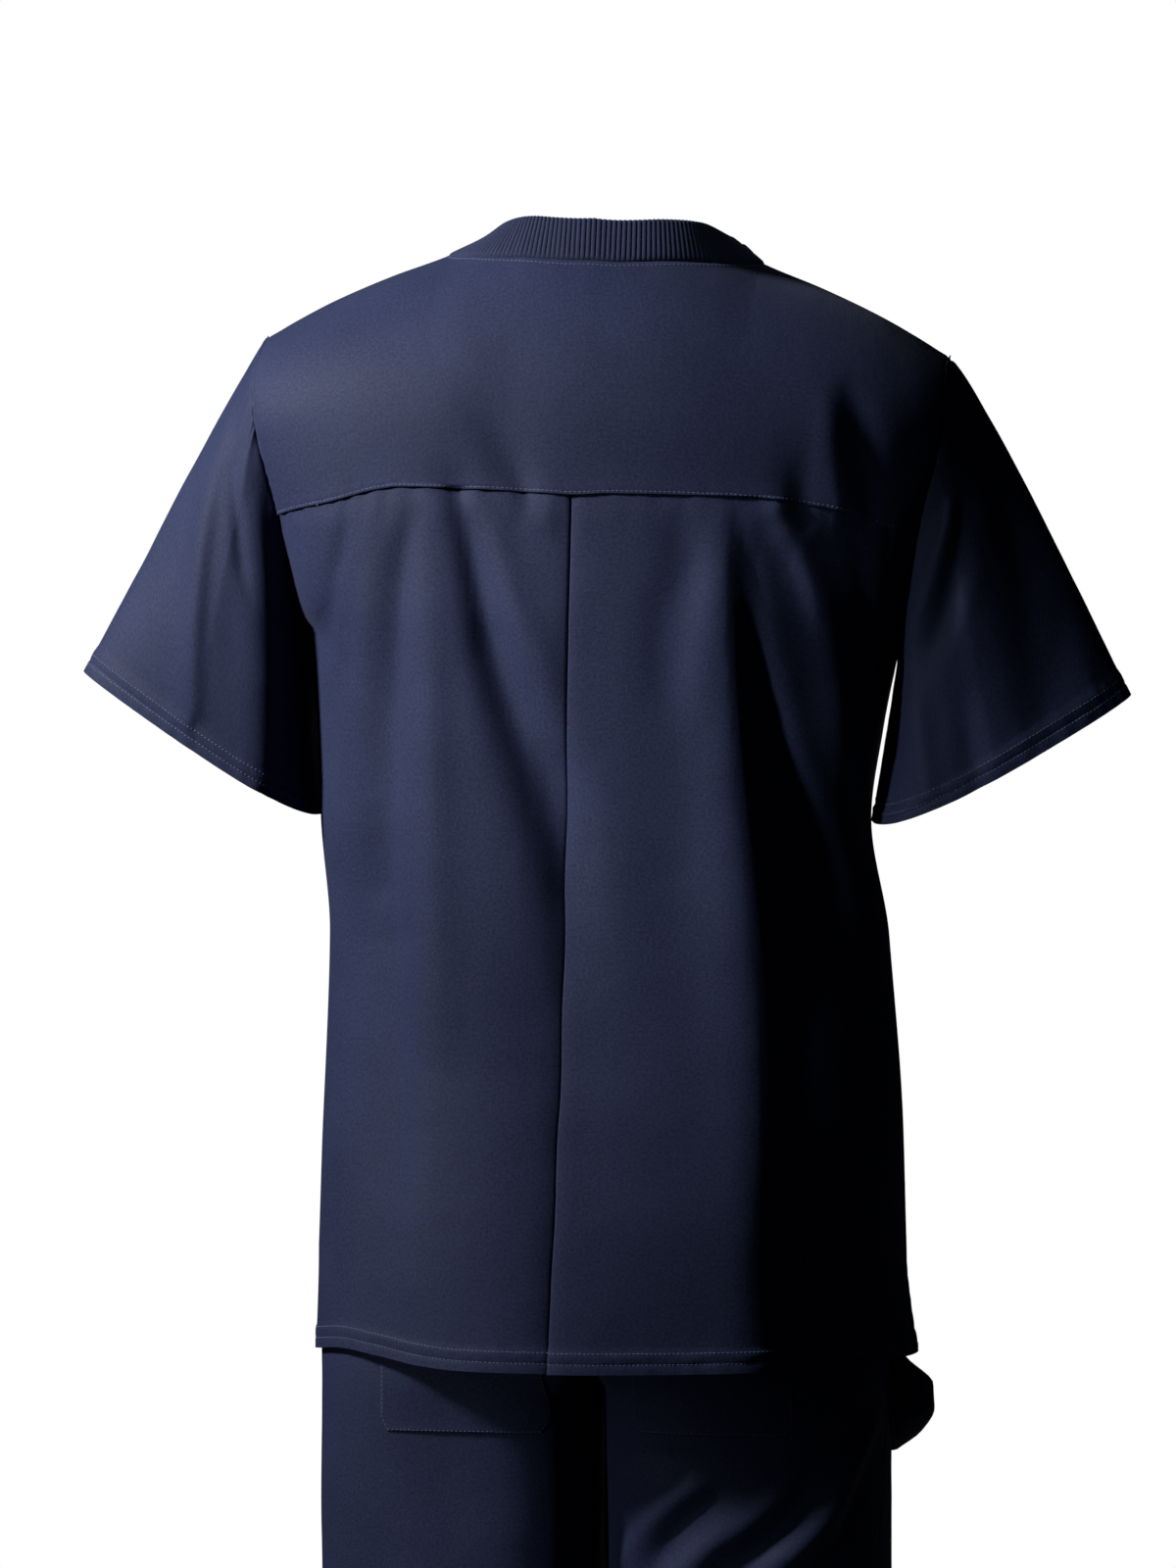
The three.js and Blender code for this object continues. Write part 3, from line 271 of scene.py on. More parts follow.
SLEEVE_BACK = {
    1: [
        fold([(251, -89), (263, -148), (272, -203), (277, -257), (281, -325)], [7, 9, 9, 9, 10], [0, 2.8, 3.8, 3.8, 2.4], -0.35),
        fold([(240, -123), (251, -160), (248, -196), (244, -228), (238, -257)], [4, 5, 5, 5, 4], [0, -1.8, -2.6, -2.2, 0]),
        fold([(236, -176), (231, -240), (231, -310), (234, -372)], [8, 12, 14, 14], [0.5, 5, 7, 6], -0.35),
        fold([(290, -170), (318, -240), (336, -290)], [10, 13, 13], [0, -1.3, 0]),
        fold([(262, -104), (294, -160), (322, -220)], [8, 11, 12], [0, 1.2, 0]),
    ],
    -1: [
        fold([(-247, -66), (-241, -92), (-240, -122), (-226, -156), (-222, -176)], [3.5, 4.5, 5, 5, 4], [0, 2.6, 2.8, 3, 0.5], 0.2),
        fold([(-246, -158), (-235, -208), (-219, -254), (-210, -272)], [5, 7, 8, 6], [0, 5.4, 5.4, 1]),
        fold([(-256, -150), (-247, -210), (-233, -262), (-222, -290)], [6, 8, 9, 7], [0, -4.4, -4.6, -0.5]),
        fold([(-220, -272), (-222, -312), (-226, -362)], [6, 8, 9], [0, 4.2, 3.4]),
        fold([(-250, -280), (-256, -330), (-262, -374)], [9, 10, 10], [0, -3.2, -2]),
        fold([(-262, -120), (-290, -200), (-300, -270), (-306, -330)], [9, 12, 14, 13], [0, -3.6, -3.4, -1]),
        fold([(-262, -90), (-302, -170), (-330, -250), (-338, -300)], [9, 12, 14, 12], [0, 3.2, 3.2, 1.5]),
        fold([(-212, -206), (-205, -260), (-202, -320), (-200, -372)], [5, 6, 7, 7], [0, -3.6, -4, -1]),
    ],
}
SLEEVE_FRONT = {
    1: [
        fold([(238, -130), (244, -200), (262, -300), (276, -350)], [8, 11, 13, 13], [0, -5, -5, -1]),
        fold([(236, -100), (262, -180), (296, -280)], [9, 12, 15], [0, 4.5, 0]),
        fold([(222, -190), (224, -270), (232, -350)], [7, 9, 9], [0, 4.5, 1]),
    ],
    -1: [
        fold([(-238, -130), (-244, -200), (-258, -300), (-272, -350)], [8, 11, 13, 13], [0, -5.5, -5, -1]),
        fold([(-238, -100), (-264, -190), (-298, -280)], [9, 12, 15], [0, 4.5, 0]),
        fold([(-222, -190), (-222, -270), (-226, -350)], [7, 9, 9], [0, 4.5, 1]),
    ],
}
# Folds of the trousers: paths are (degrees round the leg from its outer side, z); 90 is the middle of the back, -90 of the front.
DEG = 1.55  # millimetres of cloth in a degree
LEG_FOLDS = {
    1: [
        fold([(128 * DEG, -770), (128 * DEG, -860), (124 * DEG, -960), (108 * DEG, -1090)], [28, 32, 32, 28], [6, 13, 11, 0], 0.45),
        fold([(70 * DEG, -870), (64 * DEG, -940), (66 * DEG, -1040)], [12, 15, 18], [0, -2.4, 0]),
        fold([(40 * DEG, -1070), (85 * DEG, -1104), (126 * DEG, -1096)], [10, 13, 10], [0, -5.5, 0], 0.2),
        fold([(50 * DEG, -1128), (92 * DEG, -1150), (132 * DEG, -1132)], [10, 13, 10], [0, -5, 0], 0.2),
        fold([(46 * DEG, -1096), (90 * DEG, -1128), (128 * DEG, -1116)], [9, 11, 9], [0, 3.5, 0]),
        fold([(60 * DEG, -1190), (104 * DEG, -1200)], [10, 10], [0, -3]),
        fold([(-60 * DEG, -800), (-92 * DEG, -840), (-140 * DEG, -850)], [10, 14, 10], [0, -4.5, 0]),
        fold([(-50 * DEG, -860), (-84 * DEG, -960), (-90 * DEG, -1100)], [14, 18, 20], [0, 4, 0]),
        fold([(-120 * DEG, -900), (-118 * DEG, -1010), (-112 * DEG, -1120)], [12, 16, 18], [0, -5, 0]),
        fold([(-50 * DEG, -1440), (-90 * DEG, -1462), (-140 * DEG, -1450)], [9, 12, 9], [0, -6, 0], 0.2),
        fold([(-40 * DEG, -1490), (-88 * DEG, -1504), (-130 * DEG, -1490)], [8, 11, 8], [0, -4, 0]),
        fold([(-46 * DEG, -1466), (-92 * DEG, -1484), (-134 * DEG, -1470)], [8, 10, 8], [0, 4, 0]),
        fold([(60 * DEG, -1430), (96 * DEG, -1452), (140 * DEG, -1440)], [9, 12, 9], [0, -5, 0], 0.2),
        fold([(74 * DEG, -1220), (78 * DEG, -1330), (74 * DEG, -1430)], [16, 20, 16], [0, 3, 0]),
        fold([(-82 * DEG, -1180), (-84 * DEG, -1300), (-80 * DEG, -1430)], [14, 18, 14], [0, 4, 0]),
        fold([(0 * DEG, -900), (4 * DEG, -1100), (0 * DEG, -1300)], [16, 20, 16], [0, -2.5, 0]),
    ],
    -1: [
        fold([(94 * DEG, -829), (102 * DEG, -842), (108 * DEG, -850), (118 * DEG, -863), (128 * DEG, -877), (138 * DEG, -900), (142 * DEG, -925)], [5, 7, 8, 9, 9, 9, 8], [0, 4, 5, 5, 4.6, 3, 0]),
        fold([(72 * DEG, -838), (79 * DEG, -855), (84 * DEG, -862), (91 * DEG, -875), (100 * DEG, -890), (112 * DEG, -912), (118 * DEG, -935)], [5, 7, 7, 8, 9, 10, 9], [0, 3.6, 4.6, 4.8, 4.4, 3, 0]),
        fold([(2 * DEG, -786), (23 * DEG, -800), (35 * DEG, -815), (44 * DEG, -831), (51 * DEG, -850), (57 * DEG, -864), (67 * DEG, -880), (80 * DEG, -900), (90 * DEG, -930)], [5, 6, 8, 9, 10, 10, 11, 11, 9], [0, 3, 5, 7.5, 9, 9.5, 8.5, 5, 0], 0.2),
        fold([(138 * DEG, -826), (116 * DEG, -822), (99 * DEG, -826), (91 * DEG, -842)], [5, 6, 7, 6], [0, -3.4, -4, -1]),
        fold([(88 * DEG, -832), (95 * DEG, -849), (104 * DEG, -863), (115 * DEG, -884), (124 * DEG, -906), (128 * DEG, -930)], [5, 7, 8, 9, 9, 8], [0, -4.6, -5.4, -5, -3, 0], 0.2),
        fold([(58 * DEG, -818), (67 * DEG, -849), (74 * DEG, -862), (84 * DEG, -880), (94 * DEG, -904), (102 * DEG, -935)], [6, 8, 9, 10, 10, 9], [0, -4.6, -5.2, -4.8, -3, 0], 0.2),
        fold([(28 * DEG, -822), (36 * DEG, -846), (46 * DEG, -874), (54 * DEG, -905)], [6, 7, 8, 8], [0, -3.4, -3.4, 0]),
        fold([(134 * DEG, -900), (118 * DEG, -990), (110 * DEG, -1080)], [12, 15, 16], [0, -5, 0]),
        fold([(44 * DEG, -1060), (84 * DEG, -1092), (124 * DEG, -1084)], [10, 13, 10], [0, -5.5, 0], 0.2),
        fold([(50 * DEG, -1116), (94 * DEG, -1140), (130 * DEG, -1124)], [10, 13, 10], [0, -5, 0], 0.2),
        fold([(46 * DEG, -1086), (88 * DEG, -1116), (126 * DEG, -1106)], [9, 11, 9], [0, 3.6, 0]),
        fold([(-60 * DEG, -805), (-96 * DEG, -842), (-140 * DEG, -846)], [10, 14, 10], [0, -4.5, 0]),
        fold([(-52 * DEG, -860), (-86 * DEG, -970), (-90 * DEG, -1110)], [14, 18, 20], [0, 4, 0]),
        fold([(-122 * DEG, -910), (-116 * DEG, -1020), (-112 * DEG, -1130)], [12, 16, 18], [0, -5, 0]),
        fold([(-46 * DEG, -1432), (-92 * DEG, -1456), (-138 * DEG, -1440)], [9, 12, 9], [0, -6, 0], 0.2),
        fold([(-44 * DEG, -1484), (-86 * DEG, -1500), (-128 * DEG, -1488)], [8, 11, 8], [0, -4, 0]),
        fold([(-46 * DEG, -1458), (-90 * DEG, -1478), (-132 * DEG, -1464)], [8, 10, 8], [0, 4, 0]),
        fold([(56 * DEG, -1444), (98 * DEG, -1462), (138 * DEG, -1450)], [9, 12, 9], [0, -5, 0], 0.2),
        fold([(76 * DEG, -1210), (80 * DEG, -1320), (76 * DEG, -1430)], [16, 20, 16], [0, 3, 0]),
        fold([(-80 * DEG, -1180), (-84 * DEG, -1310), (-80 * DEG, -1420)], [14, 18, 14], [0, 4, 0]),
    ],
}


# ------------------------------------------------------------------ the top's surface
def edge_x(face, z):
    return np.where(z <= ARMPIT_Z, torso["side"](z), armhole["back" if face > 0 else "front"](z))


def armhole_arc(z):
    """How far round the armhole a height is, from 0 at the armpit to 1 at the turn."""
    return np.where(z <= ARMPIT_Z, 0, np.sqrt(np.maximum(0, 1 - ((TURN_Z - np.minimum(z, TURN_Z)) / (TURN_Z - ARMPIT_Z)) ** 2)))


SOFT_Z = np.linspace(-420, 60, 1921)
SOFT_SUM = np.concatenate([[0], np.cumsum(0.125 * (armhole_arc(SOFT_Z)[1:] + armhole_arc(SOFT_Z)[:-1]))])


def level_depth(face, s, z):
    """How far a level line across the body stands out at s. The armhole's edge is exact, and the cloth beside it takes it up softly."""
    reach = ARMHOLE_BACK if face > 0 else ARMHOLE_FRONT
    w = 62 * ease((1 - np.abs(s)) / 0.4)
    z = np.broadcast_to(z, np.broadcast(z, s).shape)
    soft = np.maximum(w, 0.6)
    edge = reach * np.where(w < 0.6, armhole_arc(z), (np.interp(z + soft, SOFT_Z, SOFT_SUM) - np.interp(z - soft, SOFT_Z, SOFT_SUM)) / (2 * soft))
    depth = torso["back" if face > 0 else "front"](z)
    return edge + (depth - edge) * np.maximum(0, 1 - np.abs(s) ** torso["power"](z)) ** torso["bend"](z)


def bare(face, s, along):
    s, along = np.broadcast_arrays(np.asarray(s, float), np.asarray(along, float))
    z = TURN_Z + np.minimum(along, 0)
    open_ = np.clip((VENT_TOP_Z - z) / (VENT_TOP_Z - BACK_HEM_Z), 0, 1) * np.abs(s) ** 8
    out = np.where(s > 0, -5 if face > 0 else 2, 3 if face > 0 else -3)
    low = vec(s * edge_x(face, z) + torso["sway"](z) + out * open_ * np.sign(s), face * (level_depth(face, s, z) + GAP + 11 * open_), z)
    angle = np.clip(np.maximum(along, 0) / OVER, 0, math.pi / 2)
    r = ROUND_BACK if face > 0 else ROUND_FRONT
    up = np.sin(angle) ** r
    over = np.maximum(0, np.cos(angle)) ** r
    x = s * edge_x(face, mix(TURN_Z, SHOULDER_Z, up))
    high = vec(x, face * (level_depth(face, s, np.full(s.shape, float(TURN_Z))) * over + GAP), mix(TURN_Z, ridge(np.abs(x)), up))
    return np.where((along <= 0)[..., None], low, high)


def bare_normal(face, s, along):
    si = np.clip(s, -0.985, 0.985)
    al = np.minimum(along, RIDGE_END - 3)
    n = unit(np.cross(bare(face, si + 0.01, al) - bare(face, si - 0.01, al), bare(face, si, al + 1.5) - bare(face, si, al - 1.5)))
    flip = (n[..., 1] * face < 0)
    return np.where(flip[..., None], -n, n)


def tilted(p):
    p = p.copy()
    p[..., 2] += SHOULDER_TILT * np.clip(p[..., 0] / 250, -1, 1) * ease((p[..., 2] + 520) / 220)
    return p


def top(face, s, along, out=0.0):
    s, along = np.broadcast_arrays(np.asarray(s, float), np.asarray(along, float))
    p = bare(face, s, along)
    n = bare_normal(face, s, along)
    quiet = (1 - np.abs(s) ** 12) * ease((RIDGE_END - along) / 50)
    x, z = p[..., 0], p[..., 2]
    h = fold_sum(BACK_FOLDS if face > 0 else FRONT_FOLDS, x, z)
    h = h + 0.35 * noise(x, z, 58, 1 + face) + 0.14 * noise(x, z, 24, 4 + face)
    return tilted(p + n * (out + quiet * h)[..., None])


# ------------------------------------------------------------------ meshes
pieces = {}


def grid_lengths(P):
    """Distances along the grid's columns from its first row, and along its rows from its first column."""
    v = np.zeros(P.shape[:2])
    u = np.zeros(P.shape[:2])
    v[1:] = np.cumsum(np.linalg.norm(np.diff(P, axis=0), axis=-1), axis=0)
    u[:, 1:] = np.cumsum(np.linalg.norm(np.diff(P, axis=1), axis=-1), axis=1)
    return u, v


def grid_normals(P, closed, away):
    du = (np.roll(P, -1, 1) - np.roll(P, 1, 1)) if closed else np.gradient(P, axis=1)
    dv = np.gradient(P, axis=0)
    n = unit(np.cross(du, dv))
    return n if (n * (P - away)).sum() > 0 else -n


def shell(name, P, away, thick=CLOTH, closed=False, mat=None, nodes=(), N=None):
    """A sheet of cloth through the grid P (millimetres), with a wall and closed edges."""
    m, n = P.shape[:2]
    N = grid_normals(P, closed, away) if N is None else N
    th = np.broadcast_to(np.asarray(thick, float), (m, n))[..., None]
    outer, inner = P + N * th * 0.5, P - N * th * 0.5
    u, v = grid_lengths(P)
    verts = np.concatenate([outer.reshape(-1, 3), inner.reshape(-1, 3)]) / 1000
    idx = np.arange(m * n).reshape(m, n)
    if closed:
        idx = np.concatenate([idx, idx[:, :1]], 1)
    a_, b_, c_, d_ = idx[:-1, :-1].ravel(), idx[:-1, 1:].ravel(), idx[1:, 1:].ravel(), idx[1:, :-1].ravel()
    k = m * n
    faces = [np.stack([a_, b_, c_, d_], 1), np.stack([a_ + k, d_ + k, c_ + k, b_ + k], 1)]
    for line, rev in ((idx[0], False), (idx[-1], True)):
        p, q = line[:-1], line[1:]
        faces.append(np.stack([p, p + k, q + k, q], 1) if not rev else np.stack([p, q, q + k, p + k], 1))
    if not closed:
        for line, rev in ((idx[:, 0], True), (idx[:, -1], False)):
            p, q = line[:-1], line[1:]
            faces.append(np.stack([p, p + k, q + k, q], 1) if not rev else np.stack([p, q, q + k, p + k], 1))
    faces = np.concatenate(faces)
    # the first faces must look outwards
    fa = verts[faces[0]]
    got = np.cross(fa[1] - fa[0], fa[3] - fa[0])
    mid = (m // 2) * (n - (0 if closed else 1)) + n // 2
    fm = verts[faces[min(mid, len(a_) - 1)]]
    i0 = faces[min(mid, len(a_) - 1)][0]
    if np.dot(np.cross(fm[1] - fm[0], fm[3] - fm[0]), N.reshape(-1, 3)[i0]) < 0:
        faces = faces[:, ::-1]
    me = bpy.data.meshes.new(name)
    me.from_pydata(verts.tolist(), [], faces.tolist())
    me.polygons.foreach_set("use_smooth", np.ones(len(faces), bool))
    att = me.attributes.new("flat", "FLOAT_VECTOR", "POINT")
    uv = np.stack([u, v, np.zeros_like(u)], -1).reshape(-1, 3) / 1000
    att.data.foreach_set("vector", np.concatenate([uv, uv + [0, 0, 1]]).ravel())
    me.update()
    ob = bpy.data.objects.new(name, me)
    bpy.context.scene.collection.objects.link(ob)
    if mat:
        me.materials.append(mat)
    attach(ob, "root")
    if nodes:
        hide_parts(*nodes)
    pieces[name] = dict(ob=ob, P=P, N=N, th=th[..., 0], u=u, v=v, closed=closed)
    return ob


ENDS = (0.0, 0.4, 0.9, 1.5, 2.3, 3.3)


def spots(length, step, near=()):
    """Distances from 0 to length about step apart, closer at both ends and round each distance in near."""
    base = list(np.linspace(0, length, max(3, int(round(length / step)) + 1)))
    keep = [q for e in ENDS for q in (e, length - e)]
    for c in near:
        keep += [c - 1.6, c - 0.7, c, c + 0.7, c + 1.6]
    base = [b for b in base if all(abs(b - q) > 0.9 for q in keep)]
    return np.array(sorted(set(round(q, 4) for q in base + keep if 0 <= q <= length)))


def hem_roll(d, rows, width):
    """The relief of a turned and stitched hem at distance d from its edge."""
    h = 0.45 * ease((width + 1.2 - d) / 1.6)
    for r in rows:
        h = h - 0.42 * np.exp(-(((d - r) / 1.0) ** 2))
    return h


def seam_roll(d, deep=0.9, wide=2.0):
    return -deep * np.exp(-((d / wide) ** 2))


def pucker(a, d, pitch, size, seed, reach=7.0):
    """Short waves across a seam: a runs along it, d is the distance from it."""
    w = np.sin(2 * math.pi * (a / pitch + 0.55 * noise(a, 0 * a, 26, seed))) * (0.55 + 0.45 * noise(a, 0 * a + 40, 34, seed + 3))
    return size * w * np.exp(-((np.abs(d) / reach) ** 1.3))


stitch_sets = {}


def stitch_path(group, pts, nrm, pitch=3.0, length=2.1, width=0.85, height=0.42):
    """Stitches along the points pts, standing up along nrm."""
    seg = np.linalg.norm(np.diff(pts, axis=0), axis=1)
    cum = np.concatenate([[0], np.cumsum(seg)])
    count = int(cum[-1] / pitch)
    if count < 1:
        return
    mids = (np.arange(count) + 0.5) * pitch + (cum[-1] - count * pitch) / 2
    at = lambda q, arr: np.stack([np.interp(q, cum, arr[:, i]) for i in range(3)], 1)
    a0, a1 = at(mids - length / 2, pts), at(mids + length / 2, pts)
    n = unit(at(mids, nrm))
    t = unit(a1 - a0)
    b = unit(np.cross(n, t))
    stitch_sets.setdefault(group, []).append((a0, a1, n, b, width, height))


def make_stitches(name, sets, mat):
    ring = [(-0.5, 0.0), (-0.34, 0.72), (0.0, 1.0), (0.34, 0.72), (0.5, 0.0)]
    where = [(0.0, 0.30), (0.16, 0.86), (0.5, 1.0), (0.84, 0.86), (1.0, 0.30)]
    V, F, base = [], [], 0
    for a0, a1, n, b, width, height in sets:
        k = len(a0)
        block = []
        for f, g in where:
            c = a0 + (a1 - a0) * f
            for x, y in ring:
                block.append(c + b * (x * width * (0.55 + 0.45 * g)) + n * (y * height * g - 0.08))
        block = np.stack(block, 1)  # k x 25 x 3
        V.append(block.reshape(-1, 3))
        quads = []
        for i in range(len(where) - 1):
            for j in range(len(ring) - 1):
                p = i * 5 + j
                quads.append((p, p + 5, p + 6, p + 1))
        for i in range(len(where) - 1):  # underside
            quads.append((i * 5, i * 5 + 4, i * 5 + 9, i * 5 + 5))
        q = np.array(quads)
        offs = base + 25 * np.arange(k)[:, None, None]
        F.append((q[None] + offs).reshape(-1, 4))
        base += 25 * k
    V, F = np.concatenate(V) / 1000, np.concatenate(F)
    me = bpy.data.meshes.new(name)
    me.from_pydata(V.tolist(), [], F.tolist())
    me.polygons.foreach_set("use_smooth", np.ones(len(F), bool))
    me.materials.append(mat)
    ob = bpy.data.objects.new(name, me)
    bpy.context.scene.collection.objects.link(ob)
    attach(ob, "root")
    return ob


def line_at(piece, dist, edge, lo=0.0, hi=1.0):
    """The points at distance dist inside an edge (bottom, top, left or right of the grid) of a piece, with the cloth's normals."""
    q = pieces[piece]
    P, N, th = q["P"], q["N"], q["th"]
    S = P + N * (th * 0.5)[..., None]
    if edge in ("bottom", "top"):
        v = q["v"] if edge == "bottom" else q["v"][-1:] - q["v"]
        n = P.shape[1]
        cols = range(int(lo * (n - 1)), int(round(hi * (n - 1))) + 1)
        order = slice(None) if edge == "bottom" else slice(None, None, -1)
        pts = np.array([[np.interp(dist, v[order, j], S[order, j, i]) for i in range(3)] for j in cols])
        nrm = np.array([[np.interp(dist, v[order, j], N[order, j, i]) for i in range(3)] for j in cols])
        if q["closed"]:
            pts, nrm = np.concatenate([pts, pts[:1]]), np.concatenate([nrm, nrm[:1]])
    else:
        u = q["u"] if edge == "left" else q["u"][:, -1:] - q["u"]
        m = P.shape[0]
        rows = range(int(lo * (m - 1)), int(round(hi * (m - 1))) + 1)
        order = slice(None) if edge == "left" else slice(None, None, -1)
        pts = np.array([[np.interp(dist, u[i, order], S[i, order, c]) for c in range(3)] for i in rows])
        nrm = np.array([[np.interp(dist, u[i, order], N[i, order, c]) for c in range(3)] for i in rows])
    return pts, nrm


# ------------------------------------------------------------------ materials
def cloth_material(name, colour, dark, rough=0.66, sheen=0.06, weave=0.0011, weave_strength=0.22, crumple=0.16, knit=False):
    mat = bpy.data.materials.new(name)
    mat.use_nodes = True
    nt = mat.node_tree
    nt.nodes.clear()
    out = nt.nodes.new("ShaderNodeOutputMaterial")
    bsdf = nt.nodes.new("ShaderNodeBsdfPrincipled")
    nt.links.new(bsdf.outputs[0], out.inputs[0])
    bsdf.inputs["Sheen Weight"].default_value = sheen
    bsdf.inputs["Sheen Roughness"].default_value = 0.45
    bsdf.inputs["Sheen Tint"].default_value = (0.62, 0.68, 0.9, 1)
    bsdf.inputs["Specular IOR Level"].default_value = 0.14
    flat = nt.nodes.new("ShaderNodeAttribute")
    flat.attribute_name = "flat"
    where = flat.outputs["Vector"]
    # colour: slow changes of the dye, and the yarn's own
    big = nt.nodes.new("ShaderNodeTexNoise")
    big.inputs["Scale"].default_value = 14
    big.inputs["Detail"].default_value = 3
    nt.links.new(where, big.inputs["Vector"])
    fine = nt.nodes.new("ShaderNodeTexNoise")
    fine.inputs["Scale"].default_value = 480
    fine.inputs["Detail"].default_value = 3
    fine.inputs["Roughness"].default_value = 0.7
    nt.links.new(where, fine.inputs["Vector"])
    add = nt.nodes.new("ShaderNodeMath")
    add.operation = "MULTIPLY_ADD"
    add.inputs[1].default_value = 0.8
    nt.links.new(fine.outputs["Fac"], add.inputs[0])
    half = nt.nodes.new("ShaderNodeMath")
    half.operation = "MULTIPLY"
    half.inputs[1].default_value = 0.2
    nt.links.new(big.outputs["Fac"], half.inputs[0])
    nt.links.new(half.outputs[0], add.inputs[2])
    ramp = nt.nodes.new("ShaderNodeValToRGB")
    ramp.color_ramp.elements[0].position = 0.38
    ramp.color_ramp.elements[0].color = (*dark, 1)
    ramp.color_ramp.elements[1].position = 0.62
    ramp.color_ramp.elements[1].color = (*colour, 1)
    nt.links.new(add.outputs[0], ramp.inputs["Fac"])
    nt.links.new(ramp.outputs["Color"], bsdf.inputs["Base Color"])
    # roughness varies a little
    rr = nt.nodes.new("ShaderNodeMapRange")
    rr.inputs["To Min"].default_value = rough - 0.06
    rr.inputs["To Max"].default_value = rough + 0.08
    nt.links.new(big.outputs["Fac"], rr.inputs["Value"])
    nt.links.new(rr.outputs[0], bsdf.inputs["Roughness"])
    # weave: diagonal ribs of a fine twill crossed by the weft
    turn = nt.nodes.new("ShaderNodeMapping")
    turn.inputs["Rotation"].default_value = (0, 0, math.radians(28))
    nt.links.new(where, turn.inputs["Vector"])
    twill = nt.nodes.new("ShaderNodeTexWave")
    twill.bands_direction = "X"
    twill.inputs["Scale"].default_value = 0.314 / weave
    twill.inputs["Distortion"].default_value = 0.6
    twill.inputs["Detail"].default_value = 1
    nt.links.new(turn.outputs[0], twill.inputs["Vector"])
    soft = nt.nodes.new("ShaderNodeTexNoise")
    soft.inputs["Scale"].default_value = 70
    soft.inputs["Detail"].default_value = 4
    soft.inputs["Roughness"].default_value = 0.55
    nt.links.new(where, soft.inputs["Vector"])
    b1 = nt.nodes.new("ShaderNodeBump")
    b1.inputs["Strength"].default_value = crumple
    b1.inputs["Distance"].default_value = 0.002
    nt.links.new(soft.outputs["Fac"], b1.inputs["Height"])
    b2 = nt.nodes.new("ShaderNodeBump")
    b2.inputs["Strength"].default_value = weave_strength
    b2.inputs["Distance"].default_value = 0.00012
    nt.links.new(twill.outputs["Fac"], b2.inputs["Height"])
    nt.links.new(b1.outputs[0], b2.inputs["Normal"])
    nt.links.new(b2.outputs[0], bsdf.inputs["Normal"])
    return mat


NAVY, NAVY_DARK = (0.0235, 0.0310, 0.0780), (0.0115, 0.0160, 0.0440)
top_mat = cloth_material("scrub_twill", NAVY, NAVY_DARK)
leg_mat = cloth_material("scrub_twill_trousers", NAVY, NAVY_DARK)
rib_mat = cloth_material("knit_rib", (0.0205, 0.0265, 0.0640), (0.0140, 0.0185, 0.0470), rough=0.8, sheen=0.16, weave=0.0009, weave_strength=0.5, crumple=0.06)
thread_mat = cloth_material("thread", (0.092, 0.106, 0.180), (0.064, 0.076, 0.134), rough=0.5, sheen=0.15, crumple=0.0)

# ------------------------------------------------------------------ neck line and panel edges
NECK_S = NECK_X / SHOULDER_X
RIDGE_AT_NECK = float(ridge(NECK_X))


def back_neck(s):
    q = np.minimum(1, np.abs(s) / NECK_S)
    y = NECK_BACK * np.sqrt(1 - q * q) / level_depth(1, s, np.full(np.shape(s), float(TURN_Z)))
    return np.where(np.abs(s) >= NECK_S, RIDGE_END, OVER * np.arccos(np.minimum(1, y) ** (1 / ROUND_BACK)))


def front_neck(s):
    x = np.minimum(np.abs(s) * SHOULDER_X, NECK_X)
    z = mix(V_POINT_Z, RIDGE_AT_NECK, (x / NECK_X) ** 0.92)
    high = OVER * np.arcsin(np.clip((z - TURN_Z) / (ridge(x) - TURN_Z), 0, 1) ** (1 / ROUND_FRONT))
    return np.where(x >= NECK_X - 0.01, RIDGE_END, np.where(z <= TURN_Z, z - TURN_Z, high))


def yoke_seam(s):
    return seam_height(s) - TURN_Z


def hem(face, s):
    return (back_hem(s) if face > 0 else FRONT_HEM_Z + 2 * np.abs(s) ** 6) - TURN_Z


def neck_columns(neck_steps, side_steps):
    inner = NECK_S * np.sin(np.linspace(0, math.pi / 2, neck_steps + 1))
    g = np.linspace(math.asin(NECK_S), math.pi / 2, side_steps + 1)[1:]
    outer = list(np.sin(g))
    outer = outer[:-1] + [0.998, 1.0]
    half = np.concatenate([inner, outer])
    return np.concatenate([half[:0:-1], -half])  # from the left side (+1) to the right


def rows_between(lo, hi, d, total):
    """Along values at distances d up a panel whose columns run from lo to hi; exact distances at both ends."""
    d = d[:, None]
    return lo + d + (hi - lo - total) * ease(d / total)


def soften(P, s, reach=34, turns=90):
    """Evens out the rows round the height where the cloth turns over the shoulder."""
    w = np.exp(-(((P[..., 2] - TURN_Z) / reach) ** 2)) * (1 - np.abs(s)[None, :] ** 10)
    w[0] = w[-1] = 0
    for _ in range(turns):
        P[1:-1] += (0.25 * w[1:-1])[..., None] * (P[2:] - 2 * P[1:-1] + P[:-2])
    side = np.exp(-(((P[..., 2] - TURN_Z) / (1.8 * reach)) ** 2)) * np.exp(-(((np.abs(s) - NECK_S) / 0.10) ** 2))[None, :]
    side[:2] = side[-2:] = 0
    for _ in range(60):
        P[:, 1:-1] += (0.25 * side[:, 1:-1])[..., None] * (P[:, 2:] - 2 * P[:, 1:-1] + P[:, :-2])
    return P


CENTRE = np.array([0.0, 0.0, -300.0])

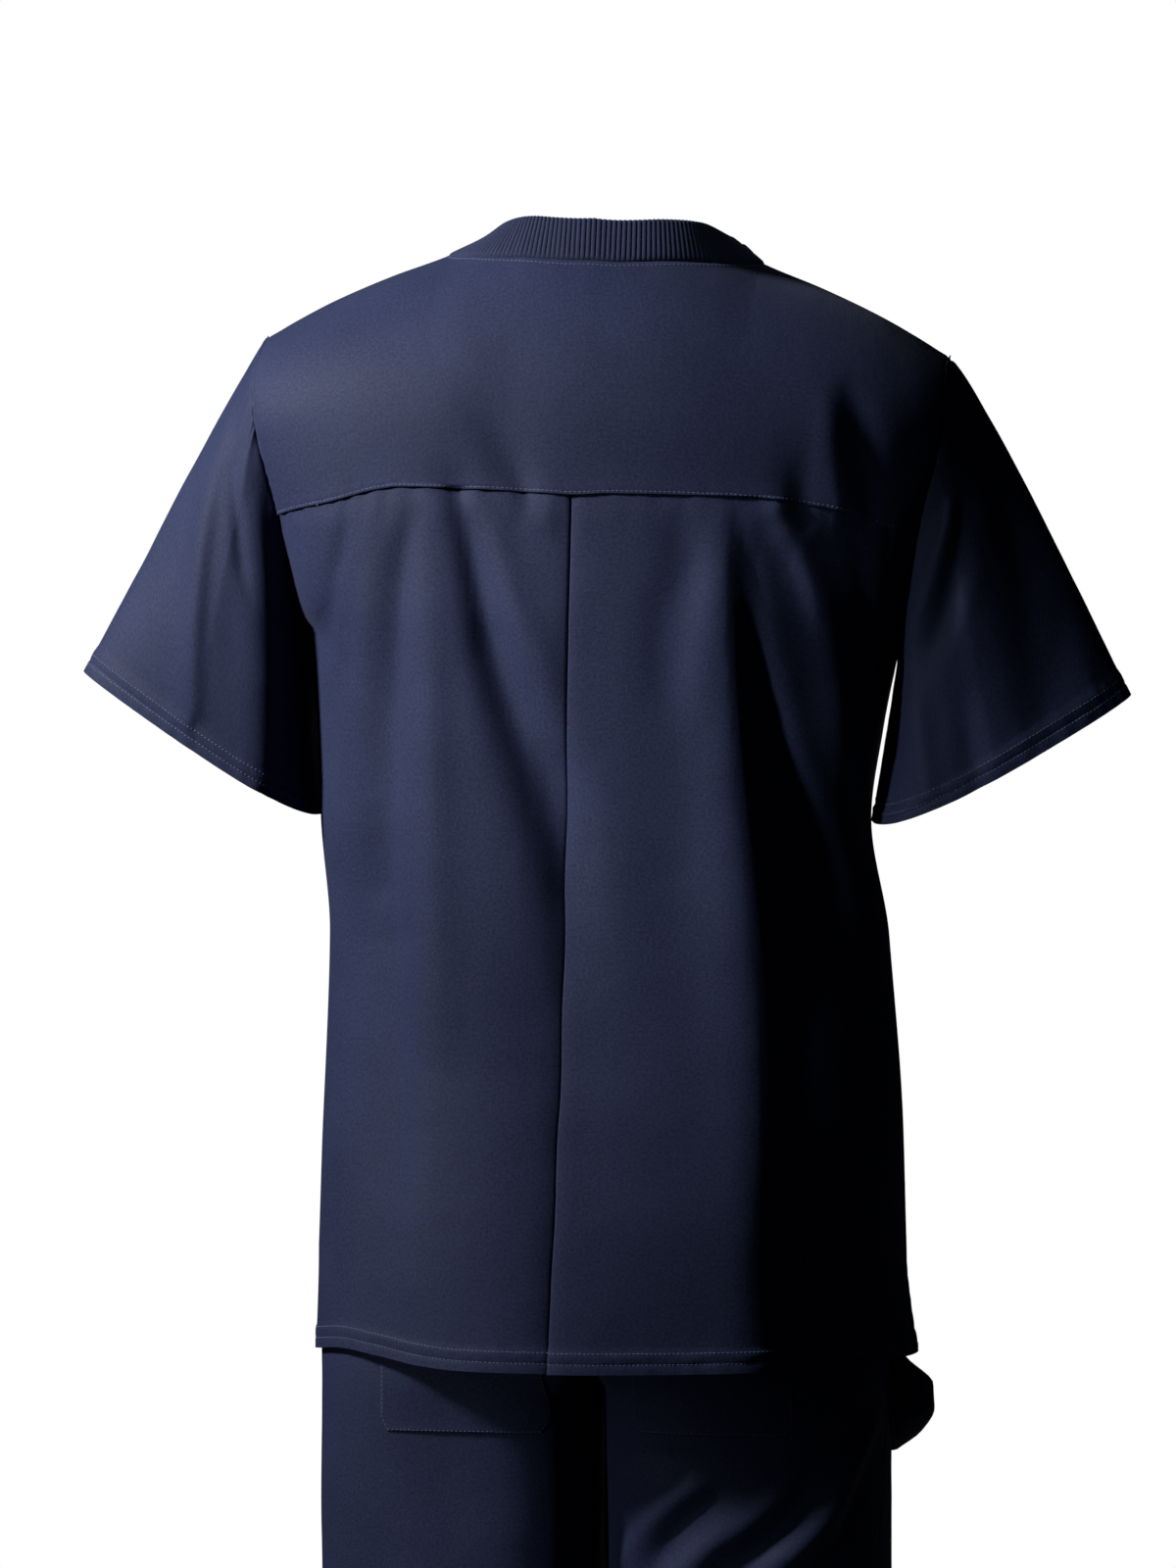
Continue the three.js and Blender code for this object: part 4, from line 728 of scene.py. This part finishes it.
# ------------------------------------------------------------------ back yoke
s = neck_columns(30, 44)
lo, hi = yoke_seam(s) + GAP, back_neck(s)
t = spots(170, 2.8) / 170
along = lo + (hi - lo) * t[:, None]
P = soften(top(1, s[None, :], along), s)
u, v = grid_lengths(P)
N = grid_normals(P, False, CENTRE)
dv_low, dv_high = v, v[-1:] - v
edge_side = np.minimum(u, u[:, -1:] - u)
neck_zone = (np.abs(s) < NECK_S)[None, :]
h = 0.3 * np.exp(-((dv_low / 5.0) ** 2)) - 0.35 * np.exp(-(((dv_low - 1.9) / 0.9) ** 2)) + seam_roll(edge_side, 1.8, 1.7)
h = h + seam_roll(dv_high, 1.2, 1.3) + 0.35 * np.exp(-(((dv_high - 4) / 2.6) ** 2))
h = h + pucker(u, dv_low, 12, 0.32, 2) + pucker(u, dv_high, 9, 0.22, 5, 9) * neck_zone
h = h + pucker(v, edge_side, 13, 0.4, 8, 9)
P = P + N * h[..., None]
shell("back_yoke", P, CENTRE, mat=top_mat, nodes=("top_back_yoke",))

# ------------------------------------------------------------------ lower back and its centre pleat
PLEAT_PITCH = 1.7
PLEAT_PATH = [(30, 0), (20, 0), (14, -0.06), (10, -0.16), (7, -0.3), (5, -0.42), (3.8, -0.56), (3.0, -0.78), (2.5, -1.1), (2.0, -1.5), (0.9, -1.9), (-3, -2.05), (-9, -2.1),
              (-14, -2.05), (-15.6, -1.85), (-16, -1.55), (-15.6, -1.27), (-14, -1.1), (-8, -1.05), (-2, -1.05), (0.4, -1.02), (1.1, -0.92), (1.35, -0.76), (1.3, -0.6),
              (1.0, -0.5), (0.2, -0.42), (-2, -0.25), (-5, -0.1), (-10, -0.02), (-20, 0)]
path_x = np.array([q[0] for q in PLEAT_PATH], float)
path_d = np.array([q[1] for q in PLEAT_PATH], float) * PLEAT_PITCH
path_under = np.interp(np.arange(len(PLEAT_PATH)), (11, 13, 16, 17), (1, 0.8, 0.2, 0)) * np.interp(path_x, (1, 30), (1, 0.5))
dist = spots(592, 4.0, near=(7.0, 14.5))
g = np.sin(np.linspace(0, math.pi / 2, 58))
g_in = np.concatenate([g[1:-1], [0.997, 1.0]])


def pleat_x(z):
    return mix(4, 16, np.clip((YOKE_Z - z) / (YOKE_Z - BACK_HEM_Z), 0, 1)) + 1.1 * noise(z, 0 * z, 46, 9)


rows, bases, depths = [], [], []
for d in dist:
    f = float(ease(d / 592))

    def place(q):
        l, r = hem(1, q), yoke_seam(q) - GAP
        return l + d + (r - l - 592) * f

    z0 = TURN_Z + float(place(np.array(0.0)))
    wide = float(edge_x(1, np.array(z0)))
    mid = float(pleat_x(np.array(z0)) - torso["sway"](np.array(min(z0, TURN_Z))))
    first, last = mid + path_x[0], mid + path_x[-1]
    sl = mix(first / wide, 1, g_in[::-1])
    sp = (mid + path_x) / wide
    sr = mix(last / wide, -1, g_in)
    sv = np.concatenate([sl, sp, sr])
    rows.append(sv)
    bases.append(place(sv))
    # the pleat opens a little towards the hem
    sink = -7.0 * float(ease((-255 - z0) / 190))
    crest = mid + 96
    left = np.clip((crest - sl * wide) / (crest - mid), 0, 1) ** 2.4
    under = np.where(np.arange(len(path_x)) < 11, np.clip((96 - path_x) / 96, 0, 1) ** 2.4, path_under)
    depths.append(np.concatenate([sink * left, path_d * (1 + 0.25 * (1 - f)) + sink * under, np.zeros(len(sr))]))
S, ALONG, DEPTH = np.array(rows), np.array(bases), np.array(depths)
P = top(1, S, ALONG, DEPTH)
u, v = grid_lengths(P)
N = bare_normal(1, S, ALONG)
edge_side = np.minimum(u, u[:, -1:] - u)
top_d = v[-1:] - v
h = seam_roll(top_d, 1.0, 8.0) + pucker(u, top_d, 11, 0.34, 12, 10) + pucker(u, top_d, 23, 0.6, 13, 22)
vent_open = ease((VENT_TOP_Z + 10 - P[..., 2]) / 12)
h = h + seam_roll(edge_side, 1.5, 1.7) * (1 - vent_open) + pucker(v, edge_side, 14, 0.35, 14, 9)
h = h + hem_roll(v, (7.0, 14.5), 15.5) + 0.16 * np.sin(2 * math.pi * (u + 0.55 * v) / 6.5) * np.exp(-(((v - 10.5) / 5) ** 2))
h = h + 1.6 * noise(u, 0 * u, 70, 15) * ease((60 - v) / 60) + pucker(u, v, 17, 0.3, 16, 16)
P = P + N * h[..., None]
thick = CLOTH + 0.9 * ease((15.6 - v) / 0.8)
shell("back_lower", P, CENTRE, thick=thick, mat=top_mat, nodes=("top_back_lower",))

# ------------------------------------------------------------------ front
s = neck_columns(34, 46)
total = 625.0
d1 = spots(480, 4.4, near=(7.0, 14.5))
lo, hi = hem(-1, s), front_neck(s)
t = np.concatenate([d1[:-2] / 480 * 0.62, np.linspace(0.62, 1, 74)])
t = np.sort(np.concatenate([t, [0.9995, 0.9988, 0.998, 0.997, 0.996]]))
first_len = 480 / 0.62
along = lo + np.where(t[:, None] * first_len < 60, t[:, None] * first_len, lo * 0 + (60 + (hi - lo - 60) * (t[:, None] * first_len - 60) / (first_len - 60)))
P = soften(top(-1, s[None, :], along), s)
u, v = grid_lengths(P)
N = grid_normals(P, False, CENTRE)
edge_side = np.minimum(u, u[:, -1:] - u)
top_d = v[-1:] - v
neck_zone = (np.abs(s) < NECK_S)[None, :]
vent_open = ease((VENT_TOP_Z + 10 - P[..., 2]) / 12)
h = seam_roll(edge_side, 1.5, 1.7) * (1 - vent_open) + pucker(v, edge_side, 14, 0.35, 24, 9)
h = h + hem_roll(v, (7.0, 14.5), 15.5) + pucker(u, v, 17, 0.3, 26, 16)
h = h + (seam_roll(top_d, 0.8, 1.8) + 0.35 * np.exp(-(((top_d - 4) / 2.6) ** 2)))
P = P + N * h[..., None]
thick = CLOTH + 0.9 * ease((15.6 - v) / 0.8)
shell("front", P, CENTRE, thick=thick, mat=top_mat, nodes=("top_front",))

# ------------------------------------------------------------------ sleeves


def armhole3d(side, turn):
    c, b = np.cos(turn), np.sin(turn)
    along = np.where(c >= 0, OVER * np.arcsin(np.clip(c, -1, 1)), c * -PIT)
    pb, pf = bare(1, np.full(turn.shape, float(side)), along), bare(-1, np.full(turn.shape, float(side)), along)
    nb = bare_normal(1, np.full(turn.shape, side * 0.975), np.minimum(along, RIDGE_END - 3))
    nf = bare_normal(-1, np.full(turn.shape, side * 0.975), np.minimum(along, RIDGE_END - 3))
    back_half = (b >= 0)[:, None]
    p, n = np.where(back_half, pb, pf), np.where(back_half, nb, nf)
    n = np.where((n[:, 0] * side < 0)[:, None], -n, n)
    return p, n


for cut in SLEEVES:
    side = cut["side"]
    n_cols = 216
    turn = np.linspace(0, 2 * math.pi, n_cols, endpoint=False)
    A, AN = armhole3d(side, turn)
    c, b = np.cos(turn), np.sin(turn)
    drop = np.where(b > 0, cut["backDrop"], cut["frontDrop"]) * np.abs(b) * (1 - cut["lean"] * c)
    H = vec(side * mix(cut["innerX"], cut["tipX"], (1 + c) / 2), cut["tipY"] * (1 + c) / 2 + cut["depth"] * b * (1 - 0.42 * c),
            mix(cut["innerZ"], cut["tipZ"], (1 + c) / 2) - drop)
    way = unit(H - A)
    out = unit(vec(side * 0.87 * c, b, 0.48 * c))
    A = A + way * 0.25 + AN * (0.55 * (1 - (out * AN).sum(-1)))[:, None]
    length = float(np.linalg.norm(H - A, axis=-1).mean())
    t = spots(length, 3.8, near=(length - 7.0, length - 14.0)) / length
    T = t[:, None]
    P = A[None] + (H - A)[None] * T[..., None]
    puff = np.sin(math.pi * T) * (5 * np.maximum(0, b) * (1 - np.abs(c)) + 3 * np.maximum(0, -b))
    P[..., 1] += np.sign(b) * puff
    bulge = cut["bulge"] * np.sin(math.pi * T ** 0.55) * np.maximum(0, c) ** 2
    P[..., 0] += side * 0.87 * bulge
    P[..., 2] += 0.48 * bulge
    away = vec(side * mix(225, 285, np.clip((P[..., 2] + 120) / -220, 0, 1)), 0, P[..., 2])
    N = grid_normals(P, True, away)
    fb = fold_sum(SLEEVE_BACK[side], P[..., 0], P[..., 2])
    ff = fold_sum(SLEEVE_FRONT[side], P[..., 0], P[..., 2])
    around = turn * 78
    w = np.where(b > 0, 1, 0) * np.minimum(1, np.abs(b) * 4)
    wf = np.where(b < 0, 1, 0) * np.minimum(1, np.abs(b) * 4)
    h = (fb * w + ff * wf) * ease(T / 0.14)
    h = h + (0.5 * noise(around + 0 * T, T * length, 46, 31 + side) + 0.2 * noise(around + 0 * T, T * length, 20, 33 + side)) * ease(T / 0.1)
    dn = (1 - T) * length
    h = h + seam_roll(T * length, 1.9, 1.7) + pucker(around + 0 * T, T * length, 12, 0.5, 35 + side, 13) * (0.4 + 0.6 * (np.abs(b) > 0.2))
    h = h + hem_roll(dn, (7.0, 14.0), 15.0) + pucker(around + 0 * T, dn, 15, 0.35, 38 + side, 14)
    P = P + N * h[..., None]
    P = tilted(P)
    thick = CLOTH + 0.9 * ease((15.2 - dn) / 0.8) + 0 * P[..., 0]
    N = grid_normals(P, True, away)
    shell("sleeve_" + cut["name"], P, away, thick=thick, closed=True, mat=top_mat, nodes=("top_sleeve_" + cut["name"],))
    pieces["sleeve_" + cut["name"]]["length"] = length

# ------------------------------------------------------------------ neck rib
RIB_PITCH = 3.5
beta = np.linspace(-math.pi / 2, math.pi / 2, 861)
s = NECK_S * np.sin(beta)
seam = top(1, s, back_neck(s))
rnd = np.where(beta > 0, np.abs(np.sin(beta)) ** 2, np.abs(np.sin(beta)) ** 3)
lean = unit(vec(-np.sign(beta) * np.where(beta > 0, 0.93, 0.78) * rnd, mix(-0.3, -0.02, rnd), mix(0.95, np.where(beta > 0, 0.37, 0.64), rnd)))
cum = np.concatenate([[0], np.cumsum(np.linalg.norm(np.diff(seam, axis=0), axis=1))])
outn = unit(np.cross(lean, np.gradient(seam, axis=0)))
outn = np.where(outn[:, 1:2] * np.cos(beta)[:, None] + outn[:, 0:1] * np.sin(beta)[:, None] < 0, -outn, outn)
ribs = np.abs(np.sin(math.pi * cum / RIB_PITCH)) ** 0.6
PROFILE = [(-3.4, -1.9), (-1.6, -1.7), (-0.5, -0.9), (0.2, -0.1), (1.0, 0.5), (2.2, 0.75), (4, 0.85), (8, 0.95), (12, 1.0), (16, 1.0), (20, 0.95), (24, 0.9), (27, 0.85),
           (28.6, 0.75), (29.5, 0.45), (29.9, 0.0), (29.5, -0.45), (28.6, -0.7), (26, -0.75), (20, -0.8), (13, -0.8), (6, -0.8), (1, -0.9)]
loop, walls = [], []
for i, (d, off) in enumerate(PROFILE):
    share = min(1.0, max(0.0, (d - 0.2) / 2.6)) * (0.35 if i > 15 else 1.0)
    wave = (0.95 * (ribs - 0.55)) * share
    sag = 0.5 * noise(cum, 0 * cum + d, 30, 44) * max(0.0, d / 30)
    p = seam + lean * d + outn * (off + sag + wave * 0.5 * (1 if i <= 15 else -1))[:, None]
    p[:, 1] = np.maximum(p[:, 1], 0.1)
    loop.append(p)
    walls.append(1.0 + wave)
P, TH = np.array(loop), np.array(walls)
N = grid_normals(P, False, np.array([0, 0, 0.0]))
if N[8, 430, 1] < 0:
    N = -N
shell("neck_rib", P, CENTRE, thick=TH, mat=rib_mat, nodes=("top_neck_rib",), N=N)


# ------------------------------------------------------------------ neck bands in front
for side in (1, -1):
    q = np.linspace(0, 1, 150)
    x = np.maximum(NECK_X * (1 - q), 0.05)
    sv = side * x / SHOULDER_X
    edge = top(-1, sv, front_neck(sv))
    fx = np.maximum(BAND_TOP[side][0] * (1 - q), 0.05)
    fz = mix(BAND_TOP[side][1], BAND_POINT_Z, q) + SHOULDER_TILT * side * fx / 500
    free = vec(side * fx, np.minimum(edge[:, 1] * mix(0.96, 0.93, q) + 1, -0.1), fz)
    way = free - edge
    ln = np.linalg.norm(way, axis=1, keepdims=True)
    way = way / ln
    outn = unit(np.cross(way, np.gradient(edge, axis=0)))
    outn = np.where(outn[:, 1:2] > 0, -outn, outn)
    loop = []
    for d, off in [(-3.2, -1.6), (-1.4, -1.4), (-0.4, -0.8), (0.3, -0.1), (1.2, 0.5), (3, 0.75), (6, 0.8), (10, 0.8), (14, 0.75), (18, 0.7), (22, 0.65), (25, 0.6),
                   (27, 0.55), (28.6, 0.5), (29.4, 0.3), (29.8, 0.0), (29.4, -0.3), (28.4, -0.45), (24, -0.45), (16, -0.45), (8, -0.45), (1.5, -0.6)]:
        wob = (0.5 * noise(q * 190, 0 * q + d, 24, 50 + side) + 0.35 * np.sin(q * 190 / 5.5 + side + d * 0.08)) * np.sin(math.pi * min(1, max(0, d) / 30)) ** 0.7
        f = np.minimum(1.0, d / 30 * np.maximum(1.0, ln / ln))
        p = edge + way * (d if d < 1.3 else 0) + (way * ln * (d / 29.9) if d >= 1.3 else 0) + outn * (off + wob)[:, None]
        p[:, 0] = side * np.maximum(side * p[:, 0], 0.1)
        p[:, 1] = np.minimum(p[:, 1], -0.1)
        loop.append(p)
    P = np.array(loop)
    N = grid_normals(P, False, CENTRE)
    if N[6, 75, 1] > 0:
        N = -N
    name = "neck_band_left" if side > 0 else "neck_band_right"
    shell(name, P, CENTRE, thick=0.72, mat=top_mat, nodes=("top_" + name,), N=N)

# ------------------------------------------------------------------ trousers


def ring(side, angle, z):
    mid, half, power = leg["middle"](z), leg["half"](z), 2 / leg["square"](z)
    c, b = np.cos(np.radians(angle)), np.sin(np.radians(angle))
    x = mid + half * np.sign(c) * np.abs(c) ** power
    y = leg["shift"](z) + np.where(b >= 0, leg["back"](z), leg["front"](z)) * np.sign(b) * np.abs(b) ** power
    return vec(side * x, y, z)


def ring_normal(side, angle, z):
    n = unit(np.cross(ring(side, angle + 1, z) - ring(side, angle - 1, z), ring(side, angle, z + 1.5) - ring(side, angle, z - 1.5)))
    p = ring(side, angle, z)
    ref = vec(side * (np.abs(p[..., 0]) * np.sign(p[..., 0] * side) - leg["middle"](z)), p[..., 1], 0)
    return np.where(((n * ref).sum(-1) < 0)[..., None], -n, n)


def inner_angle(z):
    share = np.clip(leg["middle"](z) / leg["half"](z), 0, 1)
    return np.degrees(np.arccos(-(share ** (leg["square"](z) / 2))))


def side_angle(side, z):
    return leg["turn"](z) if side < 0 else 0 * z - 2.0


def leg_surface(side, face, uu, z, out=0.0):
    uu, z = np.broadcast_arrays(np.asarray(uu, float), np.asarray(z, float))
    angle = mix(side_angle(side, z), face * inner_angle(z), uu)
    p, n = ring(side, angle, z), ring_normal(side, angle, z)
    quiet = np.minimum(1, np.minimum(7 * uu, 7 * (1 - uu)))
    quiet = quiet * quiet * (3 - 2 * quiet)
    h = fold_sum(LEG_FOLDS[side], angle * DEG, z) + 0.5 * noise(angle * DEG, z, 60, 60 + side) + 0.2 * noise(angle * DEG, z, 25, 63 + side)
    p = p + n * (out + quiet * h)[..., None]
    closing = ease((-640 - z) / (-CROTCH_Z - 640))
    least = mix(0.06, 0.7, closing)
    p[..., 0] = side * np.maximum(side * p[..., 0], least)
    return p, n


for side in (1, -1):
    for face in (1, -1):
        zs = -530.1 - spots(LEG_HEM_Z * -1 - 530.1, 6.0, near=(1017.9 - 12.0, 1017.9 - 19.0))
        cols = np.concatenate([[0, 0.004], np.linspace(0, 1, 62)[1:-1], [0.996, 1]])
        P, _ = leg_surface(side, face, cols[None, :], zs[:, None])
        u, v = grid_lengths(P)
        away = vec(side * leg["middle"](P[..., 2]), leg["shift"](P[..., 2]), P[..., 2])
        N = grid_normals(P, False, away)
        end_d = u[:, -1:] - u
        low_d = v[-1:] - v
        h = seam_roll(u, 0.8, 1.8) + seam_roll(end_d, 0.8, 1.8)
        if face > 0:  # the back panel's seam allowance is stitched down beside the side seam
            h = h + 0.35 * np.exp(-(((u - 4) / 3.0) ** 2))
        h = h + pucker(v, u, 13, 0.35, 70 + side, 9) + pucker(v, end_d, 13, 0.35, 72 + side, 9)
        h = h + hem_roll(low_d, (19.0,), 20.0) + pucker(u, low_d, 18, 0.4, 74 + side, 18)
        h = h + pucker(u, v, 9, 1.3, 76 + side, 26)
        P = P + N * h[..., None]
        thick = CLOTH + 0.9 * ease((20.2 - low_d) / 0.8)
        name = "trouser_%s_%s" % ("back" if face > 0 else "front", "left" if side > 0 else "right")
        shell(name, P, away, thick=thick, mat=leg_mat, nodes=(name,))

# waistband, gathered on elastic
angle = np.linspace(0, 360, 480, endpoint=False)
rowd = spots(WAIST_Z - BAND_SEAM_Z - 0.5, 2.4)
zz = (BAND_SEAM_Z + 0.4 + rowd)[:, None]
c, b = np.cos(np.radians(angle))[None], np.sin(np.radians(angle))[None]
power = 2 / leg["square"](zz)
P = vec(leg["half"](zz) * np.sign(c) * np.abs(c) ** power, np.where(b >= 0, leg["back"](zz), leg["front"](zz)) * np.sign(b) * np.abs(b) ** power, zz)
N = grid_normals(P, True, vec(0, 0, P[..., 2]))
frac = (rowd / rowd[-1])[:, None]
ruff = noise(angle[None] * 2.9, frac * 30, 7.5, 90) * 1.5 + 0.9 * np.sin(np.radians(angle[None]) * 64 + 3 * noise(angle[None], frac * 10, 40, 91))
P = P + N * (ruff * (0.35 + 0.65 * np.sin(math.pi * 3 * frac) ** 2) - 0.5)[..., None]
shell("waistband", P, vec(0, 0, P[..., 2]), thick=1.8, closed=True, mat=leg_mat, nodes=("trouser_waistband",))


# ------------------------------------------------------------------ pockets
def column_at_x(side, face, x, z):
    low, high = np.full(z.shape, 0.02), np.full(z.shape, 0.999)
    for _ in range(22):
        mid = (low + high) / 2
        angle = mix(side_angle(side, z), face * inner_angle(z), mid)
        big = np.abs(ring(side, angle, z)[..., 0]) > x
        low, high = np.where(big, mid, low), np.where(big, high, mid)
    return low


def patch(name, side, face, zs, ua, ub, off, nodes, n_cols=44, roll=1.0, lift=1.15):
    w = np.concatenate([[0, 0.006], np.linspace(0, 1, n_cols)[1:-1], [0.994, 1]])
    uu = ua[:, None] + (ub - ua)[:, None] * w[None]
    P, n = leg_surface(side, face, uu, zs[:, None] + 0 * uu)
    extra = off(zs[:, None], w[None]) if off else 0
    u, v = grid_lengths(P)
    edge = np.minimum(np.minimum(u, u[:, -1:] - u), v[-1:] - v)
    h = lift + extra - 0.75 * np.exp(-((edge / 1.1) ** 2)) * roll + 0.25 * np.exp(-(((edge - 2.6) / 1.6) ** 2)) + 0.3 * noise(u, v, 22, 95)
    P = P + n * h[..., None]
    away = vec(side * leg["middle"](P[..., 2]), 0, P[..., 2])
    return shell(name, P, away, thick=0.8, mat=leg_mat, nodes=nodes)


q = BACK_POCKET
zs = q["top"] - spots(q["top"] - q["bottom"], 3.4, near=(q["top"] - q["bottom"] - 2.2,))
clip = np.maximum(0, q["corner"] - (zs - q["bottom"])) * 0.6
for side, word in ((1, "left"), (-1, "right")):
    patch("pocket_back_" + word, side, 1, zs, column_at_x(side, 1, q["outer"] - clip, zs), column_at_x(side, 1, q["inner"] + clip, zs), None,
          ("trouser_back_pocket_" + word,))
q = SIDE_POCKET
zs = q["top"] - spots(q["top"] - q["bottom"], 3.4, near=(q["top"] - q["bottom"] - 2.2,))
corner = np.maximum(0, 1 - (zs - q["bottom"]) / 34) ** 2
for side, word in ((1, "left"), (-1, "right")):
    patch("pocket_side_" + word, side, -1, zs, q["near"] + q["round"] * corner, q["far"] - q["round"] * corner,
          lambda z, w, word=word: stand[word](z) * np.sin(math.pi * np.clip(w, 0, 1) ** 0.3), ("trouser_side_pocket_" + word,), n_cols=56)

# ------------------------------------------------------------------ stitches
for d in (7.0, 14.5):
    stitch_path("top", *line_at("back_lower", d, "bottom"))
    stitch_path("top", *line_at("front", d, "bottom"))
stitch_path("top", *line_at("back_yoke", 1.9, "bottom"), pitch=3.2)
n_yoke = pieces["back_yoke"]["P"].shape[1]
lo_c, hi_c = 45 / (n_yoke - 1), 1 - 45 / (n_yoke - 1)
stitch_path("top", *line_at("back_yoke", 5.5, "top", lo_c, hi_c), pitch=3.1)
n_front = pieces["front"]["P"].shape[1]
lo_c, hi_c = 47 / (n_front - 1), 1 - 47 / (n_front - 1)
stitch_path("top", *line_at("front", 5.5, "top", lo_c, hi_c), pitch=3.1)
for word in ("left", "right"):
    q = pieces["sleeve_" + word]
    for d in (7.0, 14.0):
        stitch_path("top", *line_at("sleeve_" + word, d, "top"))
for edge in ("left", "right"):  # stitching beside the side vents
    m = pieces["back_lower"]["P"].shape[0]
    share = 0.13
    stitch_path("top", *line_at("back_lower", 4.0, edge, 0.03, share))
    stitch_path("top", *line_at("front", 4.0, edge, 0.03, share))
for side in ("left", "right"):
    stitch_path("trousers", *line_at("trouser_back_" + side, 19.0, "top"))
    stitch_path("trousers", *line_at("trouser_front_" + side, 19.0, "top"))
    stitch_path("trousers", *line_at("trouser_back_" + side, 5.5, "left", 0.02, 0.98))
    for pocket in ("pocket_back_", "pocket_side_"):
        for edge in ("left", "right"):
            stitch_path("trousers", *line_at(pocket + side, 2.2, edge, 0.01, 0.985))
        stitch_path("trousers", *line_at(pocket + side, 2.2, "top", 0.02, 0.98))
make_stitches("stitches_top", stitch_sets["top"], thread_mat)
make_stitches("stitches_trousers", stitch_sets["trousers"], thread_mat)

# ------------------------------------------------------------------ floor, light and world
def plain(name, colour):
    mat = bpy.data.materials.new(name)
    mat.use_nodes = True
    bs = mat.node_tree.nodes["Principled BSDF"]
    bs.inputs["Base Color"].default_value = (*colour, 1)
    bs.inputs["Roughness"].default_value = 0.9
    return mat


bpy.ops.mesh.primitive_circle_add(vertices=96, radius=2.1, fill_type="NGON", location=(0, 0, -1.602))
floor = bpy.context.object
floor.name = "floor"
floor.data.materials.append(plain("grey_floor", (0.16, 0.16, 0.16)))


def area_light(name, place, aim, size, power, colour=(1, 1, 1)):
    data = bpy.data.lights.new(name, "AREA")
    data.shape = "DISK"
    data.size = size
    data.energy = power
    data.color = colour
    ob = bpy.data.objects.new(name, data)
    bpy.context.scene.collection.objects.link(ob)
    ob.location = place
    ob.rotation_euler = (Vector(aim) - Vector(place)).to_track_quat("-Z", "Y").to_euler()
    ob.visible_camera = False
    return ob


def spot_light(name, place, aim, power, radius, cone, colour=(1, 1, 1)):
    data = bpy.data.lights.new(name, "SPOT")
    data.energy, data.shadow_soft_size, data.spot_size, data.spot_blend = power, radius, math.radians(cone), 1.0
    data.color = colour
    ob = bpy.data.objects.new(name, data)
    bpy.context.scene.collection.objects.link(ob)
    ob.location = place
    ob.rotation_euler = (Vector(aim) - Vector(place)).to_track_quat("-Z", "Y").to_euler()
    ob.visible_camera = False
    return ob


spot_light("key", (2.02, 0.98, 1.0), (0, 0, 0.06), 520, 0.24, 56)
spot_light("edge", (1.5, 1.9, 0.1), (-0.13, 0.1, -0.37), 150, 0.12, 8.0)
spot_light("edge_sleeve", (1.5, 1.95, 0.25), (-0.232, 0.06, -0.215), 24, 0.08, 4.6)
spot_light("legs", (1.3, 1.9, -0.7), (0.085, 0.09, -0.9), 60, 0.12, 9.6)
spot_light("edge_neck", (0.7, 2.3, 0.9), (-0.078, 0.06, 0.016), 40, 0.1, 5.0)
area_light("fill", (-0.9, 4.2, 0.9), (0, 0, -0.5), 1.4, 0.5, (0.55, 0.7, 1.0))
area_light("front", (0.72, -5.1, -0.25), (0, 0, -0.5), 0.9, 130)

world = bpy.data.worlds.new("world")
bpy.context.scene.world = world
world.use_nodes = True
nt = world.node_tree
nt.nodes.clear()
out = nt.nodes.new("ShaderNodeOutputWorld")
mixer = nt.nodes.new("ShaderNodeMixShader")
path = nt.nodes.new("ShaderNodeLightPath")
dim, white = nt.nodes.new("ShaderNodeBackground"), nt.nodes.new("ShaderNodeBackground")
dim.inputs["Color"].default_value = (0.55, 0.7, 1.0, 1)
dim.inputs["Strength"].default_value = 0.006
white.inputs["Color"].default_value = (1, 1, 1, 1)
white.inputs["Strength"].default_value = 1.0
nt.links.new(path.outputs["Is Camera Ray"], mixer.inputs[0])
nt.links.new(dim.outputs[0], mixer.inputs[1])
nt.links.new(white.outputs[0], mixer.inputs[2])
nt.links.new(mixer.outputs[0], out.inputs[0])
bpy.context.scene.view_settings.view_transform = "Standard"
